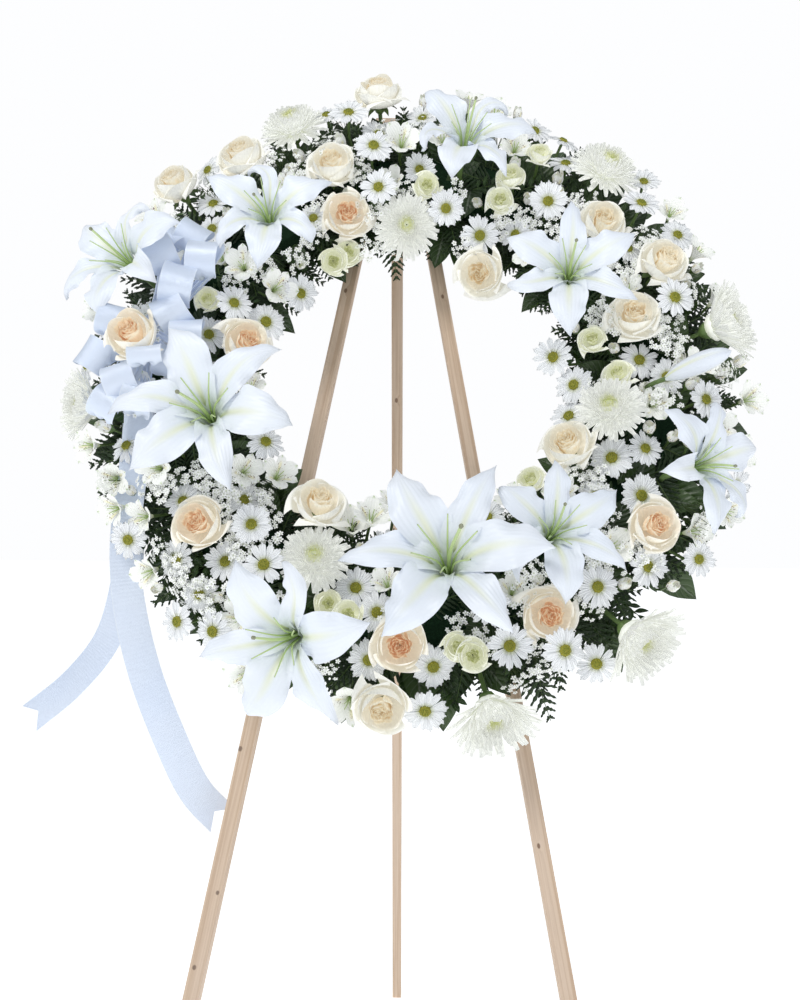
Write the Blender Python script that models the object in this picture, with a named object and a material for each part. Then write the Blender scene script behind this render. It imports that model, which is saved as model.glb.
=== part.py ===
"""Standing funeral wreath on a folding wooden easel.

An open ring of white lilies, cream roses, cushion mums, daisies and small filler blooms stands in
a ring of floral foam in a plastic tray. A satin bow with two tails sits on its left side. The tray
is wired to the two front legs of a wooden easel, whose rear leg folds on a bolt at the top.

Metres, +Z up, the front faces -Y. The flowers are laid out in the wreath's own frame: u to the
right, v up along the leaning front legs and n out of the wreath, from the legs' front faces.
"""

import math
import random

import bmesh
import bpy
from mathutils import Matrix, Vector

OBJECT = "funeral_wreath"
FIT = 0.0003

# Easel
LEG_LENGTH = 1.524
LEG_WIDTH = 0.016
LEG_DEPTH = 0.018
LEAN = math.radians(16.4)
SPLAY = math.radians(9.3)
LEG_OFFSET = 0.020
LEG_HEAD = 0.014
BOLT_RADIUS = 0.003
BOLT_HOLE = 0.0034
BOLT_HEIGHT = LEG_LENGTH * math.cos(SPLAY) * math.cos(LEAN)
REAR_SWING = math.acos(BOLT_HEIGHT / LEG_LENGTH)
HEAD_CUTS = (0, 9, 18, 27)

# Ring of foam in its tray
WREATH_DROP = 0.3985
WREATH_ASIDE = 0.026
RING_RADIUS = 0.280
RING_SIDES = 24
TRAY_HALF = 0.040
TRAY_HEIGHT = 0.024
TRAY_WALL = 0.002
FOAM_HALF = 0.0375
FOAM_TOP = 0.056
STEM_DEPTH = 0.022

# Cover of blooms over the ring
COVER_HALF = 0.128
COVER_TILT = 0.75
STEM_RADIUS = 0.0026
STEM_GAP = 0.0006
FORK_RADIUS = 0.0050
PEG_RADIUS = 0.0022
BUD_SIZE = 0.040

WHITE = (0.86, 0.86, 0.80, 1.0)
CREAM = (0.88, 0.82, 0.66, 1.0)
GREEN = (0.13, 0.22, 0.08, 1.0)
PINE = (0.66, 0.50, 0.36, 1.0)
FOAM_GREEN = (0.05, 0.16, 0.08, 1.0)
TRAY_GREEN = (0.02, 0.07, 0.04, 1.0)
STEEL = (0.62, 0.62, 0.60, 1.0)
SATIN = (0.70, 0.80, 0.93, 1.0)

# Lilies: u, v, throat height, facing lean in u and v, spin in degrees, reach
LILIES = {
    "lily_upper_left": (-0.334, 0.118, 0.128, -0.45, 0.12, 22, 0.088),
    "lily_left_top": (-0.168, 0.171, 0.140, 0.05, 0.05, 29, 0.082),
    "lily_top": (0.061, 0.274, 0.142, 0.10, 0.20, 10, 0.084),
    "lily_right_top": (0.176, 0.099, 0.136, -0.10, -0.05, 25, 0.084),
    "lily_left": (-0.220, -0.075, 0.142, 0.00, 0.00, -8, 0.104),
    "lily_bottom_left": (-0.122, -0.320, 0.134, -0.30, -0.35, 10, 0.096),
    "lily_bottom": (0.038, -0.237, 0.148, -0.08, 0.20, 3, 0.110),
    "lily_right_bottom": (0.152, -0.201, 0.122, 0.15, 0.10, 31, 0.082),
    "lily_right": (0.308, -0.131, 0.138, 0.60, -0.05, 22, 0.078),
}
LILY_BUD = ("lily_right", 0.312, -0.012, 0.124)

# Cushion mums: u, v, height, radius
MUMS = {
    "mum_top": (-0.154, 0.330, 0.086, 0.038),
    "mum_inner_top": (-0.009, 0.190, 0.086, 0.034),
    "mum_right_top": (0.232, 0.264, 0.092, 0.038),
    "mum_right": (0.345, 0.051, 0.092, 0.036),
    "mum_inner_right": (0.221, -0.054, 0.100, 0.034),
    "mum_bottom_right": (0.232, -0.300, 0.086, 0.036),
    "mum_bottom": (0.084, -0.376, 0.080, 0.036),
    "mum_inner_left": (-0.102, -0.227, 0.092, 0.034),
    "mum_left": (-0.368, -0.043, 0.070, 0.032),
}

# Roses, one to three on each stem: u, v, height
ROSES = {
    "roses_upper_left": ((-0.292, 0.242, 0.088), (-0.213, 0.278, 0.094)),
    "roses_top": ((-0.101, 0.266, 0.096), (-0.082, 0.202, 0.090), (-0.047, 0.376, 0.090)),
    "roses_right_top": ((0.224, 0.185, 0.096), (0.290, 0.129, 0.100), (0.253, 0.060, 0.100)),
    "rose_inner_right": ((0.176, -0.096, 0.090),),
    "rose_lower_right": ((0.258, -0.188, 0.100),),
    "rose_bottom_right": ((0.144, -0.284, 0.096),),
    "roses_bottom": ((-0.009, -0.318, 0.102), (-0.026, -0.378, 0.088)),
    "roses_lower_left": ((-0.226, -0.192, 0.102), (-0.101, -0.167, 0.090)),
    "rose_in_bow": ((-0.305, 0.010, 0.144),),
    "rose_inner_left": ((-0.193, 0.024, 0.098),),
    "rose_inner_top": ((0.082, 0.132, 0.076),),
}
ROSE_RADIUS = 0.031

# Small blooms in mixed sprays: kind, u, v, height
SPRAYS = {
    "spray_upper_left": (
        ("alstroemeria", -0.318, 0.204, 0.080),
        ("daisy", -0.244, 0.181, 0.092),
        ("alstroemeria", -0.203, 0.130, 0.092),
    ),
    "spray_inner_left_top": (
        ("spray_rose", -0.242, 0.086, 0.088),
        ("daisy", -0.207, 0.073, 0.106),
        ("daisy", -0.239, 0.044, 0.084),
        ("daisy", -0.174, 0.064, 0.078),
        ("alstroemeria", -0.163, 0.104, 0.086),
        ("daisy", -0.135, 0.103, 0.076),
        ("spray_rose", -0.097, 0.145, 0.080),
        ("spray_rose", -0.082, 0.164, 0.066),
    ),
    "spray_top": (
        ("daisy", -0.083, 0.340, 0.104),
        ("daisy", -0.050, 0.282, 0.116),
        ("alstroemeria", -0.016, 0.296, 0.104),
    ),
    "spray_inner_top": (
        ("daisy", -0.043, 0.226, 0.112),
        ("spray_rose", 0.015, 0.236, 0.100),
        ("daisy", 0.038, 0.205, 0.100),
        ("daisy", 0.079, 0.173, 0.092),
    ),
    "spray_right_top": (
        ("spray_rose", 0.103, 0.217, 0.098),
        ("spray_rose", 0.117, 0.247, 0.100),
        ("spray_rose", 0.152, 0.280, 0.100),
        ("daisy", 0.160, 0.212, 0.104),
        ("daisy", 0.270, 0.208, 0.106),
    ),
    "spray_right": (
        ("daisy", 0.298, 0.078, 0.114),
        ("daisy", 0.262, 0.016, 0.080),
        ("spray_rose", 0.236, -0.006, 0.086),
        ("spray_rose", 0.207, 0.034, 0.092),
        ("daisy", 0.330, -0.038, 0.092),
    ),
    "spray_inner_right": (
        ("daisy", 0.164, 0.022, 0.074),
        ("daisy", 0.186, -0.014, 0.076),
        ("daisy", 0.180, -0.050, 0.070),
        ("daisy", 0.224, -0.104, 0.080),
        ("spray_rose", 0.134, -0.134, 0.084),
    ),
    "spray_lower_right": (
        ("daisy", 0.254, -0.148, 0.080),
        ("daisy", 0.256, -0.228, 0.080),
        ("daisy", 0.198, -0.254, 0.096),
    ),
    "spray_bottom_right": (
        ("daisy", 0.084, -0.276, 0.104),
        ("daisy", 0.104, -0.318, 0.102),
        ("daisy", 0.160, -0.322, 0.104),
        ("spray_rose", 0.050, -0.318, 0.100),
        ("spray_rose", 0.066, -0.328, 0.104),
    ),
    "spray_bottom": (
        ("daisy", 0.026, -0.338, 0.082),
        ("daisy", -0.042, -0.332, 0.082),
        ("daisy", 0.018, -0.382, 0.068),
        ("alstroemeria", -0.062, -0.374, 0.064),
        ("daisy", -0.034, -0.282, 0.084),
        ("daisy", -0.058, -0.254, 0.076),
    ),
    "spray_bottom_left": (
        ("spray_rose", -0.086, -0.274, 0.088),
        ("spray_rose", -0.062, -0.290, 0.108),
        ("spray_rose", -0.082, -0.314, 0.086),
        ("alstroemeria", -0.171, -0.347, 0.074),
    ),
    "spray_lower_left": (
        ("daisy", -0.170, -0.192, 0.104),
        ("daisy", -0.200, -0.228, 0.082),
        ("daisy", -0.154, -0.236, 0.104),
        ("daisy", -0.254, -0.226, 0.080),
        ("daisy", -0.208, -0.304, 0.082),
    ),
    "spray_left": (
        ("daisy", -0.252, -0.160, 0.082),
        ("alstroemeria", -0.262, -0.101, 0.100),
        ("alstroemeria", -0.280, -0.126, 0.096),
    ),
    "spray_inner_left": (
        ("daisy", -0.163, -0.092, 0.090),
        ("alstroemeria", -0.148, -0.130, 0.084),
        ("alstroemeria", -0.066, -0.184, 0.066),
        ("alstroemeria", -0.043, -0.176, 0.078),
        ("alstroemeria", -0.016, -0.160, 0.068),
    ),
}
DAISY_RADIUS = 0.024
ALSTROEMERIA_RADIUS = 0.022
SPRAY_ROSE_RADIUS = 0.016

# Leafy stems bent along the foam's walls: angles from and to, then leaves by angle and length,
# with a minus sign on the length of a fern frond
GREENS = {
    "greens_top": (60, 118, ((60, 0.070), (78, -0.085), (90, 0.075), (103, 0.070), (118, -0.080))),
    "greens_right": (-24, 48, ((-24, 0.072), (-8, 0.080), (4, 0.078), (20, -0.085), (34, 0.076), (48, 0.074))),
    "greens_bottom": (-100, -38, ((-100, 0.070), (-84, 0.072), (-68, -0.084), (-54, 0.078), (-38, 0.080))),
    "greens_left": (128, 200, ((128, -0.080), (142, 0.076), (154, 0.072), (170, 0.068), (186, 0.070), (200, 0.066))),
    "greens_inner_top": (40, 150, ((40, 0.058), (62, 0.062), (80, 0.060), (98, -0.070), (122, 0.060), (150, 0.062))),
    "greens_inner_bottom": (-160, -30, ((-160, 0.060), (-140, 0.066), (-116, 0.058), (-92, 0.060), (-66, -0.070),
                                        (-46, 0.062), (-30, 0.058))),
}
GREENS_HEIGHT = 0.034
TWIG_GAP = 0.009

# Ribbon: loops of the bow by direction, length and height, and the two tails' routes
RIBBON_WIDTH = 0.0365
RIBBON_THICK = 0.0010
KNOT = (-0.310, 0.050, 0.088)
KNOT_RADIUS = 0.014
LOOP_DEPTH = 0.056
LOOPS = ((68, 0.078, 0.000), (16, 0.044, 0.002), (140, 0.046, 0.002), (190, 0.056, 0.000), (228, 0.084, 0.022))
LONG_TAIL = ((-0.314, 0.042, 0.080, 0), (-0.328, 0.008, 0.070, 0), (-0.314, -0.052, 0.078, 0),
             (-0.314, -0.130, 0.076, -4), (-0.319, -0.200, 0.062, 0), (-0.313, -0.266, 0.046, 8),
             (-0.294, -0.340, 0.026, 14), (-0.266, -0.410, 0.002, 18), (-0.238, -0.465, -0.018, 28),
             (-0.206, -0.498, -0.030, 40))
SHORT_TAIL = ((-0.318, 0.042, 0.078, 0), (-0.334, 0.004, 0.061, 0), (-0.318, -0.052, 0.063, 0),
              (-0.319, -0.130, 0.054, 0), (-0.322, -0.190, 0.040, -6), (-0.327, -0.245, 0.024, -22),
              (-0.346, -0.304, 0.008, -38), (-0.384, -0.352, -0.004, -48), (-0.432, -0.392, -0.012, -54))

SAME_ANGLE = 1e-6
CAMBER = (0, 1, 0, 1)
BAND = (0, 0, 1, 0)


def clear_scene():
    for item in list(bpy.data.objects):
        bpy.data.objects.remove(item, do_unlink=True)


def material(name, colour, roughness, metallic=0.0):
    """Principled material, made once for each name."""
    found = bpy.data.materials.get(name)
    if found:
        return found
    made = bpy.data.materials.new(name)
    made.use_nodes = True
    shader = made.node_tree.nodes["Principled BSDF"]
    shader.inputs["Base Color"].default_value = colour
    shader.inputs["Roughness"].default_value = roughness
    shader.inputs["Metallic"].default_value = metallic
    made.diffuse_color = colour
    return made


def collection(name):
    made = bpy.data.collections.new(name)
    bpy.context.scene.collection.children.link(made)
    return made


def wreath_frame():
    """Matrix from the wreath's u, v, n to the world."""
    across = Vector((1, 0, 0))
    up = Vector((0, math.sin(LEAN), math.cos(LEAN)))
    out = Vector((0, -math.cos(LEAN), math.sin(LEAN)))
    centre = Vector((WREATH_ASIDE, 0, BOLT_HEIGHT)) - up * WREATH_DROP + out * LEG_DEPTH / 2
    turn = Matrix((across, up, out)).transposed().to_4x4()
    return Matrix.Translation(centre) @ turn


def loft(rings, diagonals=(0,), blunt=True):
    """Closed solid through rings of points with the same count; a lone point draws an end to a tip."""
    mesh = bmesh.new()
    rows = [[mesh.verts.new(point) for point in ring] for ring in rings]
    for near, far in zip(rows, rows[1:]):
        count = max(len(near), len(far))
        for k in range(count):
            after = (k + 1) % count
            if len(near) == 1:
                mesh.faces.new((near[0], far[k], far[after]))
            elif len(far) == 1:
                mesh.faces.new((near[k], far[0], near[after]))
            elif diagonals[k % len(diagonals)] == 0:
                mesh.faces.new((near[k], far[k], far[after]))
                mesh.faces.new((near[k], far[after], near[after]))
            else:
                mesh.faces.new((near[k], far[k], near[after]))
                mesh.faces.new((near[after], far[k], far[after]))
    for row in (rows[0], rows[-1]):
        if len(row) == 4 and blunt:
            mesh.faces.new((row[0], row[1], row[3]))
            mesh.faces.new((row[1], row[2], row[3]))
        elif len(row) == 6 and blunt:
            for a, b, c, d in ((0, 1, 4, 5), (1, 2, 3, 4)):
                mesh.faces.new([row[i] for i in (a, b, c)])
                mesh.faces.new([row[i] for i in (a, c, d)])
        elif len(row) > 2:
            mesh.faces.new(row)
    bmesh.ops.recalc_face_normals(mesh, faces=mesh.faces[:])
    return mesh


def circle(centre, axis, radius, sides, spin=0.0):
    """Ring of points round an axis."""
    axis = axis.normalized()
    side = axis.cross(Vector((0, 0, 1)) if abs(axis.z) < 0.9 else Vector((1, 0, 0))).normalized()
    other = axis.cross(side)
    turns = [spin + math.tau * k / sides for k in range(sides)]
    return [centre + side * radius * math.cos(a) + other * radius * math.sin(a) for a in turns]


def rod(points, radius, sides=4):
    """Few-sided rod along a line of points."""
    points = [Vector(point) for point in points]
    rings = []
    for k, point in enumerate(points):
        before = points[max(0, k - 1)]
        after = points[min(len(points) - 1, k + 1)]
        rings.append(circle(point, after - before, radius, sides))
    return loft(rings, blunt=sides == 4)


def blade(stations):
    """Arched leaf or petal: each station is a centre, side, face, half width, hollow and thickness."""
    rings = []
    for centre, side, face, half, hollow, thick in stations:
        if half == 0:
            rings.append([centre])
            continue
        rings.append([centre - side * half + face * hollow, centre,
                      centre + side * half + face * hollow, centre - face * thick])
    return loft(rings, CAMBER)


def petal_ring(petals, reach, notch, lift, tip=0.0, spin=0.0):
    """Outline of a tier of petals as angle, radius and height; blunt petals have two points."""
    ring = []
    for k in range(petals):
        middle = math.tau * k / petals + spin
        ring.append((middle - math.pi / petals, notch, lift * notch / reach))
        if tip:
            ring += [(middle - tip, reach, lift), (middle + tip, reach, lift)]
        else:
            ring.append((middle, reach, lift))
    return ring


def even_ring(count, radius, height, spin=0.0):
    return [(math.tau * k / count + spin, radius, height) for k in range(count)]


def head(rings, size, place, foot, girth):
    """Flower head with its stem: rings in parts of its size, then a straight stem to the foot."""
    rings = [[(a, Vector((r * size * math.cos(a), r * size * math.sin(a), z * size))) for a, r, z in ring]
             for ring in rings]
    neck = [(a, Vector((girth * math.cos(a), girth * math.sin(a), rings[0][0][1].z))) for a in
            (0, math.tau / 3, 2 * math.tau / 3)]
    run = place.inverted() @ foot - Vector((0, 0, neck[0][1].z))
    return placed(layered([[(a, point + run) for a, point in neck], neck] + rings[1:]), place)


def stem_cutter(place, depth, foot, girth):
    """Hole for a stem of that kind, a little wider and deeper."""
    wide = girth + STEM_GAP
    run = place.inverted() @ foot - Vector((0, 0, depth))
    turns = (0, math.tau / 3, 2 * math.tau / 3)
    neck = [Vector((wide * math.cos(a), wide * math.sin(a), depth)) for a in turns]
    deeper = run * (1 + 0.0006 / run.length)
    return placed(loft([[point + deeper for point in neck], neck]), place)


def layered(rings):
    """Closed skin through rings of an angle and a point, zipped together by their angles.

    Where two angles are level, the ring with fewer points goes first, so both faces of a thin petal
    are split alike and never cross.
    """
    mesh = bmesh.new()
    rows = []
    for ring in rings:
        ring = sorted(((angle % math.tau, point) for angle, point in ring), key=lambda item: item[0])
        rows.append([(angle, mesh.verts.new(point)) for angle, point in ring])
    for near, far in zip(rows, rows[1:]):
        if len(far) == 1:
            for k in range(len(near)):
                mesh.faces.new((near[k][1], far[0][1], near[(k + 1) % len(near)][1]))
            continue
        i = j = 0
        while i < len(near) or j < len(far):
            next_near = near[(i + 1) % len(near)][0] + (math.tau if i + 1 >= len(near) else 0)
            next_far = far[(j + 1) % len(far)][0] + (math.tau if j + 1 >= len(far) else 0)
            a, b = near[i % len(near)][1], far[j % len(far)][1]
            level = abs(next_near - next_far) < SAME_ANGLE
            near_first = len(near) <= len(far) if level else next_near < next_far
            if j >= len(far) or (i < len(near) and near_first):
                i += 1
                mesh.faces.new((a, b, near[i % len(near)][1]))
            else:
                j += 1
                mesh.faces.new((a, b, far[j % len(far)][1]))
    for row in (rows[0], rows[-1]):
        if len(row) > 2:
            mesh.faces.new([vert for _, vert in row])
    bmesh.ops.recalc_face_normals(mesh, faces=mesh.faces[:])
    return mesh


def placed(mesh, matrix):
    bmesh.ops.transform(mesh, matrix=matrix, verts=mesh.verts)
    return mesh


def facing(centre, direction, spin=0.0):
    """Matrix that sets a head's own z along its facing direction."""
    out = Vector(direction).normalized()
    side = (Vector((1, 0, 0)) - out * out.x).normalized()
    turn = Matrix((side, out.cross(side), out)).transposed().to_4x4()
    return Matrix.Translation(centre) @ turn @ Matrix.Rotation(spin, 4, "Z")


def cover_direction(u, v):
    """Direction out of the domed cover of blooms at a place on the ring."""
    radius = math.hypot(u, v)
    tilt = COVER_TILT * max(-1.0, min(1.0, (radius - RING_RADIUS) / COVER_HALF))
    return Vector((u / radius * tilt, v / radius * tilt, 1)).normalized()


def add_object(name, mesh, look, home):
    if mesh.calc_volume(signed=True) < 0:
        bmesh.ops.reverse_faces(mesh, faces=mesh.faces[:])
    data = bpy.data.meshes.new(name)
    mesh.to_mesh(data)
    mesh.free()
    data.materials.append(look)
    made = bpy.data.objects.new(name, data)
    home.objects.link(made)
    return made


def combine(made, pieces, operation, solver="MANIFOLD"):
    """Joins or cuts an object with a list of bmeshes by one Boolean on a collection."""
    pool = collection("pool")
    for k, piece in enumerate(pieces):
        add_object("piece_%d" % k, piece, made.data.materials[0], pool)
    cut = made.modifiers.new("combine", "BOOLEAN")
    cut.operation = operation
    cut.solver = solver
    cut.operand_type = "COLLECTION"
    cut.collection = pool
    seen = bpy.context.evaluated_depsgraph_get()
    result = bpy.data.meshes.new_from_object(made.evaluated_get(seen))
    made.modifiers.clear()
    made.data = result
    for item in list(pool.objects):
        bpy.data.objects.remove(item, do_unlink=True)
    bpy.data.collections.remove(pool)
    tidy = bmesh.new()
    tidy.from_mesh(result)
    bmesh.ops.triangulate(tidy, faces=tidy.faces[:])
    drop_scraps(tidy)
    tidy.to_mesh(result)
    tidy.free()
    return made


def drop_scraps(mesh):
    """Removes loose slivers that a Boolean leaves behind."""
    left = set(mesh.faces)
    while left:
        island = {left.pop()}
        edge = list(island)
        while edge:
            face = edge.pop()
            for near in (other for side in face.edges for other in side.link_faces if other in left):
                left.discard(near)
                island.add(near)
                edge.append(near)
        if len(island) < 12:
            bmesh.ops.delete(mesh, geom=list(island), context="FACES")
            left = {face for face in left if face.is_valid}


def fuse(name, pieces, look, home):
    made = add_object(name, pieces[0], look, home)
    if len(pieces) > 1:
        combine(made, pieces[1:], "UNION")
    return made


def point_gap(point, start, end):
    """Distance from a point to a straight piece of stem."""
    run = end - start
    along = max(0.0, min(1.0, (point - start).dot(run) / run.length_squared))
    return (point - start - run * along).length


def stem_gap(a, b, c, d):
    """Least distance between two straight pieces of stem, from points along each."""
    steps = [k / 10 for k in range(11)]
    return min(min(point_gap(a.lerp(b, t), c, d) for t in steps), min(point_gap(c.lerp(d, t), a, b) for t in steps))


class Route:
    """Keeps the stems of different flowers clear of each other and of the other heads."""

    def __init__(self):
        self.stems = []
        self.heads = []

    def room(self, name, start, end):
        gaps = [0.05]
        for owner, a, b in self.stems:
            if owner != name:
                gaps.append(stem_gap(start, end, a, b) - 2 * STEM_RADIUS - 0.001)
        for owner, centre, radius in self.heads:
            if owner != name:
                gaps.append(point_gap(centre, start, end) - radius - STEM_RADIUS)
        return min(gaps)

    def find(self, name, bases):
        """Foot in the foam and fork above it that leave the most room for a flower's stems."""
        middle = sum(bases, Vector()) / len(bases)
        angle = math.atan2(middle.y, middle.x)
        radius = max(RING_RADIUS - 0.024, min(RING_RADIUS + 0.024, math.hypot(middle.x, middle.y)))
        best = None
        for turn in (0, 3, -3, 6, -6, 9, -9, 12, -12, 16, -16):
            for inward in (0, 0.010, -0.010, 0.020, -0.020, 0.032, -0.032):
                foot_radius = radius + inward
                if abs(foot_radius - RING_RADIUS) > FOAM_HALF - 0.010:
                    continue
                a = angle + math.radians(turn)
                foot = Vector((foot_radius * math.cos(a), foot_radius * math.sin(a), FOAM_TOP - STEM_DEPTH))
                if len(bases) == 1:
                    runs = [(foot, bases[0])]
                else:
                    fork = foot + Vector((0, 0, STEM_DEPTH + FORK_RADIUS + 0.001))
                    runs = [(foot, fork)] + [(fork, base) for base in bases]
                room = min(self.room(name, start, end) for start, end in runs)
                score = min(room, 0.002) - 0.00002 * abs(turn)
                if best is None or score > best[0]:
                    best = (score, runs)
        for start, end in best[1]:
            self.stems.append((name, start, end))
        return best[1]


def lily_rings(reach):
    """Trumpet that opens into six recurved tepals, three wide and three narrow, and a pistil."""
    outline = []
    above = []
    below = []
    for k in range(6):
        middle = math.tau * k / 6
        wide = k % 2 == 0
        spread = 1.0 if wide else 0.78
        valley = middle - math.pi / 6
        rise = 0.0 if wide else -0.004 / reach
        outline.append((valley, 0.27, 0.06))
        for turn, radius, height in ((-0.33, 0.60, 0.30), (-0.165, 0.88, 0.25), (0, 1.0, 0.06),
                                     (0.165, 0.88, 0.25), (0.33, 0.60, 0.30)):
            outline.append((middle + turn * spread, radius * (1.0 if wide else 0.96), height + rise))
        above += [(valley, 0.23, 0.03), (middle, 0.64, 0.24 + rise)]
        below += [(valley, 0.23, -0.03), (middle, 0.64, 0.215 + rise)]
    pistil = [even_ring(3, 0.016, -0.12), even_ring(3, 0.014, 0.55)]
    return [even_ring(3, 0.03, -0.50), even_ring(6, 0.10, -0.30), below, outline, above,
            even_ring(6, 0.12, -0.08)] + pistil


BUD_RINGS = [even_ring(3, 0.03, -0.90), even_ring(6, 0.28, -0.30), even_ring(6, 0.26, 0.45), [(0, 0, 1.0)]]
MUM_RINGS = [even_ring(3, 0.10, -0.42), petal_ring(12, 1.0, 0.62, 0.08), even_ring(9, 0.48, 0.20),
             petal_ring(9, 0.82, 0.54, 0.42), even_ring(6, 0.26, 0.36), petal_ring(6, 0.50, 0.32, 0.64),
             [(0, 0, 0.54)]]
ROSE_RINGS = [even_ring(3, 0.12, -0.60), petal_ring(5, 1.0, 0.84, 0.28, 0.30), even_ring(5, 0.52, 0.04),
              petal_ring(5, 0.78, 0.66, 0.58, 0.30, 0.63), even_ring(5, 0.30, 0.38, 0.63),
              petal_ring(4, 0.44, 0.34, 0.80), [(0, 0, 0.68)]]
DAISY_RINGS = [even_ring(3, 0.13, -0.22), petal_ring(9, 1.0, 0.44, 0.12, 0.17), even_ring(9, 0.27, 0.13),
               [(0, 0, 0.24)]]
ALSTROEMERIA_RINGS = [even_ring(3, 0.13, -0.60), petal_ring(6, 1.0, 0.46, 0.46, 0.15), [(0, 0, 0.06)]]
SPRAY_ROSE_RINGS = [even_ring(3, 0.19, -0.75), petal_ring(5, 1.0, 0.84, 0.32), even_ring(5, 0.56, 0.14),
                    petal_ring(4, 0.70, 0.56, 0.74), [(0, 0, 0.56)]]

# Each kind's rings, size, stem radius and the ball that other stems keep clear of
SMALL = {
    "daisy": (DAISY_RINGS, DAISY_RADIUS, 0.0018, 0.010),
    "alstroemeria": (ALSTROEMERIA_RINGS, ALSTROEMERIA_RADIUS, 0.0018, 0.012),
    "spray_rose": (SPRAY_ROSE_RINGS, SPRAY_ROSE_RADIUS, 0.0018, 0.014),
}


def bloom_plans():
    """Every flower node as its name, colour and heads: rings, size, place, stem radius, clear ball."""
    draw = random.Random(7)
    plans = []
    for name, (u, v, n, lean_u, lean_v, spin, reach) in LILIES.items():
        place = facing(Vector((u, v, n)), Vector((lean_u, lean_v, 1)), math.radians(spin))
        heads = [(lily_rings(reach), reach, place, 0.0032, 0.014)]
        if LILY_BUD[0] == name:
            heads.append((BUD_RINGS, BUD_SIZE, facing(Vector(LILY_BUD[1:]), Vector((0.75, 0.15, 0.6))), 0.0028, 0.014))
        plans.append((name, "lily_white", WHITE, heads))
    for name, (u, v, n, radius) in MUMS.items():
        place = facing(Vector((u, v, n)), cover_direction(u, v), draw.uniform(0, 1))
        plans.append((name, "mum_white", WHITE, [(MUM_RINGS, radius, place, 0.0026, 0.5 * radius)]))
    for name, places in ROSES.items():
        heads = []
        for u, v, n in places:
            place = facing(Vector((u, v, n)), cover_direction(u, v), draw.uniform(0, 1))
            heads.append((ROSE_RINGS, ROSE_RADIUS, place, 0.0028, 0.7 * ROSE_RADIUS))
        plans.append((name, "rose_cream", CREAM, heads))
    for name, places in SPRAYS.items():
        heads = []
        for kind, u, v, n in places:
            rings, radius, girth, ball = SMALL[kind]
            place = facing(Vector((u, v, n)), cover_direction(u, v), draw.uniform(0, 1))
            heads.append((rings, radius, place, girth, ball))
        plans.append((name, "small_bloom_white", WHITE, heads))
    return plans


def build_blooms(home, frame):
    """All flower nodes; gives back the cutters for their holes in the foam."""
    route = Route()
    route.heads.append(("ribbon_bow", Vector(KNOT), 1.4 * KNOT_RADIUS))
    plans = bloom_plans()
    for name, _, _, heads in plans:
        for _, _, place, _, ball in heads:
            route.heads.append((name, place.translation.copy(), ball))
    cutters = []
    for name, look_name, colour, heads in plans:
        bases = [place @ Vector((0, 0, rings[0][0][2] * size)) for rings, size, place, _, _ in heads]
        runs = route.find(name, bases)
        look = material(look_name, colour, 0.5)
        ends = [start for start, _ in runs[-len(heads):]]
        pieces = [head(rings, size, place, end, girth) for (rings, size, place, girth, _), end in zip(heads, ends)]
        if len(heads) == 1:
            rings, size, place, girth, _ = heads[0]
            cutters.append(stem_cutter(place, rings[0][0][2] * size, ends[0], girth))
        else:
            fork = bmesh.new()
            bmesh.ops.create_icosphere(fork, subdivisions=1, radius=FORK_RADIUS)
            bmesh.ops.transform(fork, matrix=Matrix.Translation(ends[0]), verts=fork.verts)
            foot = runs[0][0]
            pieces = [fork, rod((foot, ends[0]), STEM_RADIUS, 3)] + pieces
            cutters.append(rod((foot - Vector((0, 0, 0.0006)), ends[0]), STEM_RADIUS + STEM_GAP, 3))
        made = fuse(name, pieces, look, home)
        made.data.transform(frame)
    return cutters


def leaf_solid(start, out, side, length, fern):
    """Leaf that arches down from a leafy stem; a fern frond has its edge cut into leaflets."""
    stations = [(start, side, Vector((0, 0, 1)), 0, 0, 0)]
    if fern:
        shares = [(k + 1) / 11 for k in range(10)]
        halves = [0.30 * length * math.sin(math.pi * (0.12 + 0.86 * t)) ** 0.8 * (1.0 if k % 2 else 0.42)
                  for k, t in enumerate(shares)]
    else:
        shares = (0.22, 0.5, 0.78)
        halves = (0.17 * length, 0.24 * length, 0.17 * length)
    for t, half in zip(shares, halves):
        drop = 0.16 * length * t * t
        face = Vector((0.32 * t * out.x, 0.32 * t * out.y, 1)).normalized()
        stations.append((start + out * length * t - Vector((0, 0, drop)), side, face, half, 0.10 * half, 0.0010))
    stations.append((start + out * length - Vector((0, 0, 0.16 * length)), side, Vector((0, 0, 1)), 0, 0, 0))
    return blade(stations)


def build_greens(home, frame):
    look = material("leaf_green", GREEN, 0.5)
    pegs = []
    for name, (first, last, leaves) in GREENS.items():
        inner = "inner" in name
        radius = RING_RADIUS - FOAM_HALF - TWIG_GAP if inner else RING_RADIUS + FOAM_HALF + TWIG_GAP
        sense = -1 if inner else 1
        steps = max(3, round(abs(last - first) / 16))
        turns = [math.radians(first + (last - first) * k / steps) for k in range(steps + 1)]
        arc = [Vector((radius * math.cos(a), radius * math.sin(a), GREENS_HEIGHT)) for a in turns]
        pieces = [rod(arc, PEG_RADIUS, 4)]
        middle = math.radians((first + last) / 2 + 3)
        ray = Vector((math.cos(middle), math.sin(middle), 0))
        peg = (Vector((ray.x * radius, ray.y * radius, GREENS_HEIGHT)),
               Vector((ray.x * (radius - sense * 0.030), ray.y * (radius - sense * 0.030), GREENS_HEIGHT)))
        pegs.append(peg)
        pieces.append(rod(peg, PEG_RADIUS, 4))
        for degrees, length in leaves:
            a = math.radians(degrees)
            out = Vector((sense * math.cos(a), sense * math.sin(a), 0))
            side = Vector((-math.sin(a), math.cos(a), 0))
            share = max(0.02, min(steps - 0.02, steps * (degrees - first) / (last - first)))
            start = arc[int(share)].lerp(arc[int(share) + 1], share - int(share))
            pieces.append(leaf_solid(start, out, side, abs(length), length < 0))
        made = fuse(name, pieces, look, home)
        made.data.transform(frame)
    return pegs


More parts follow.
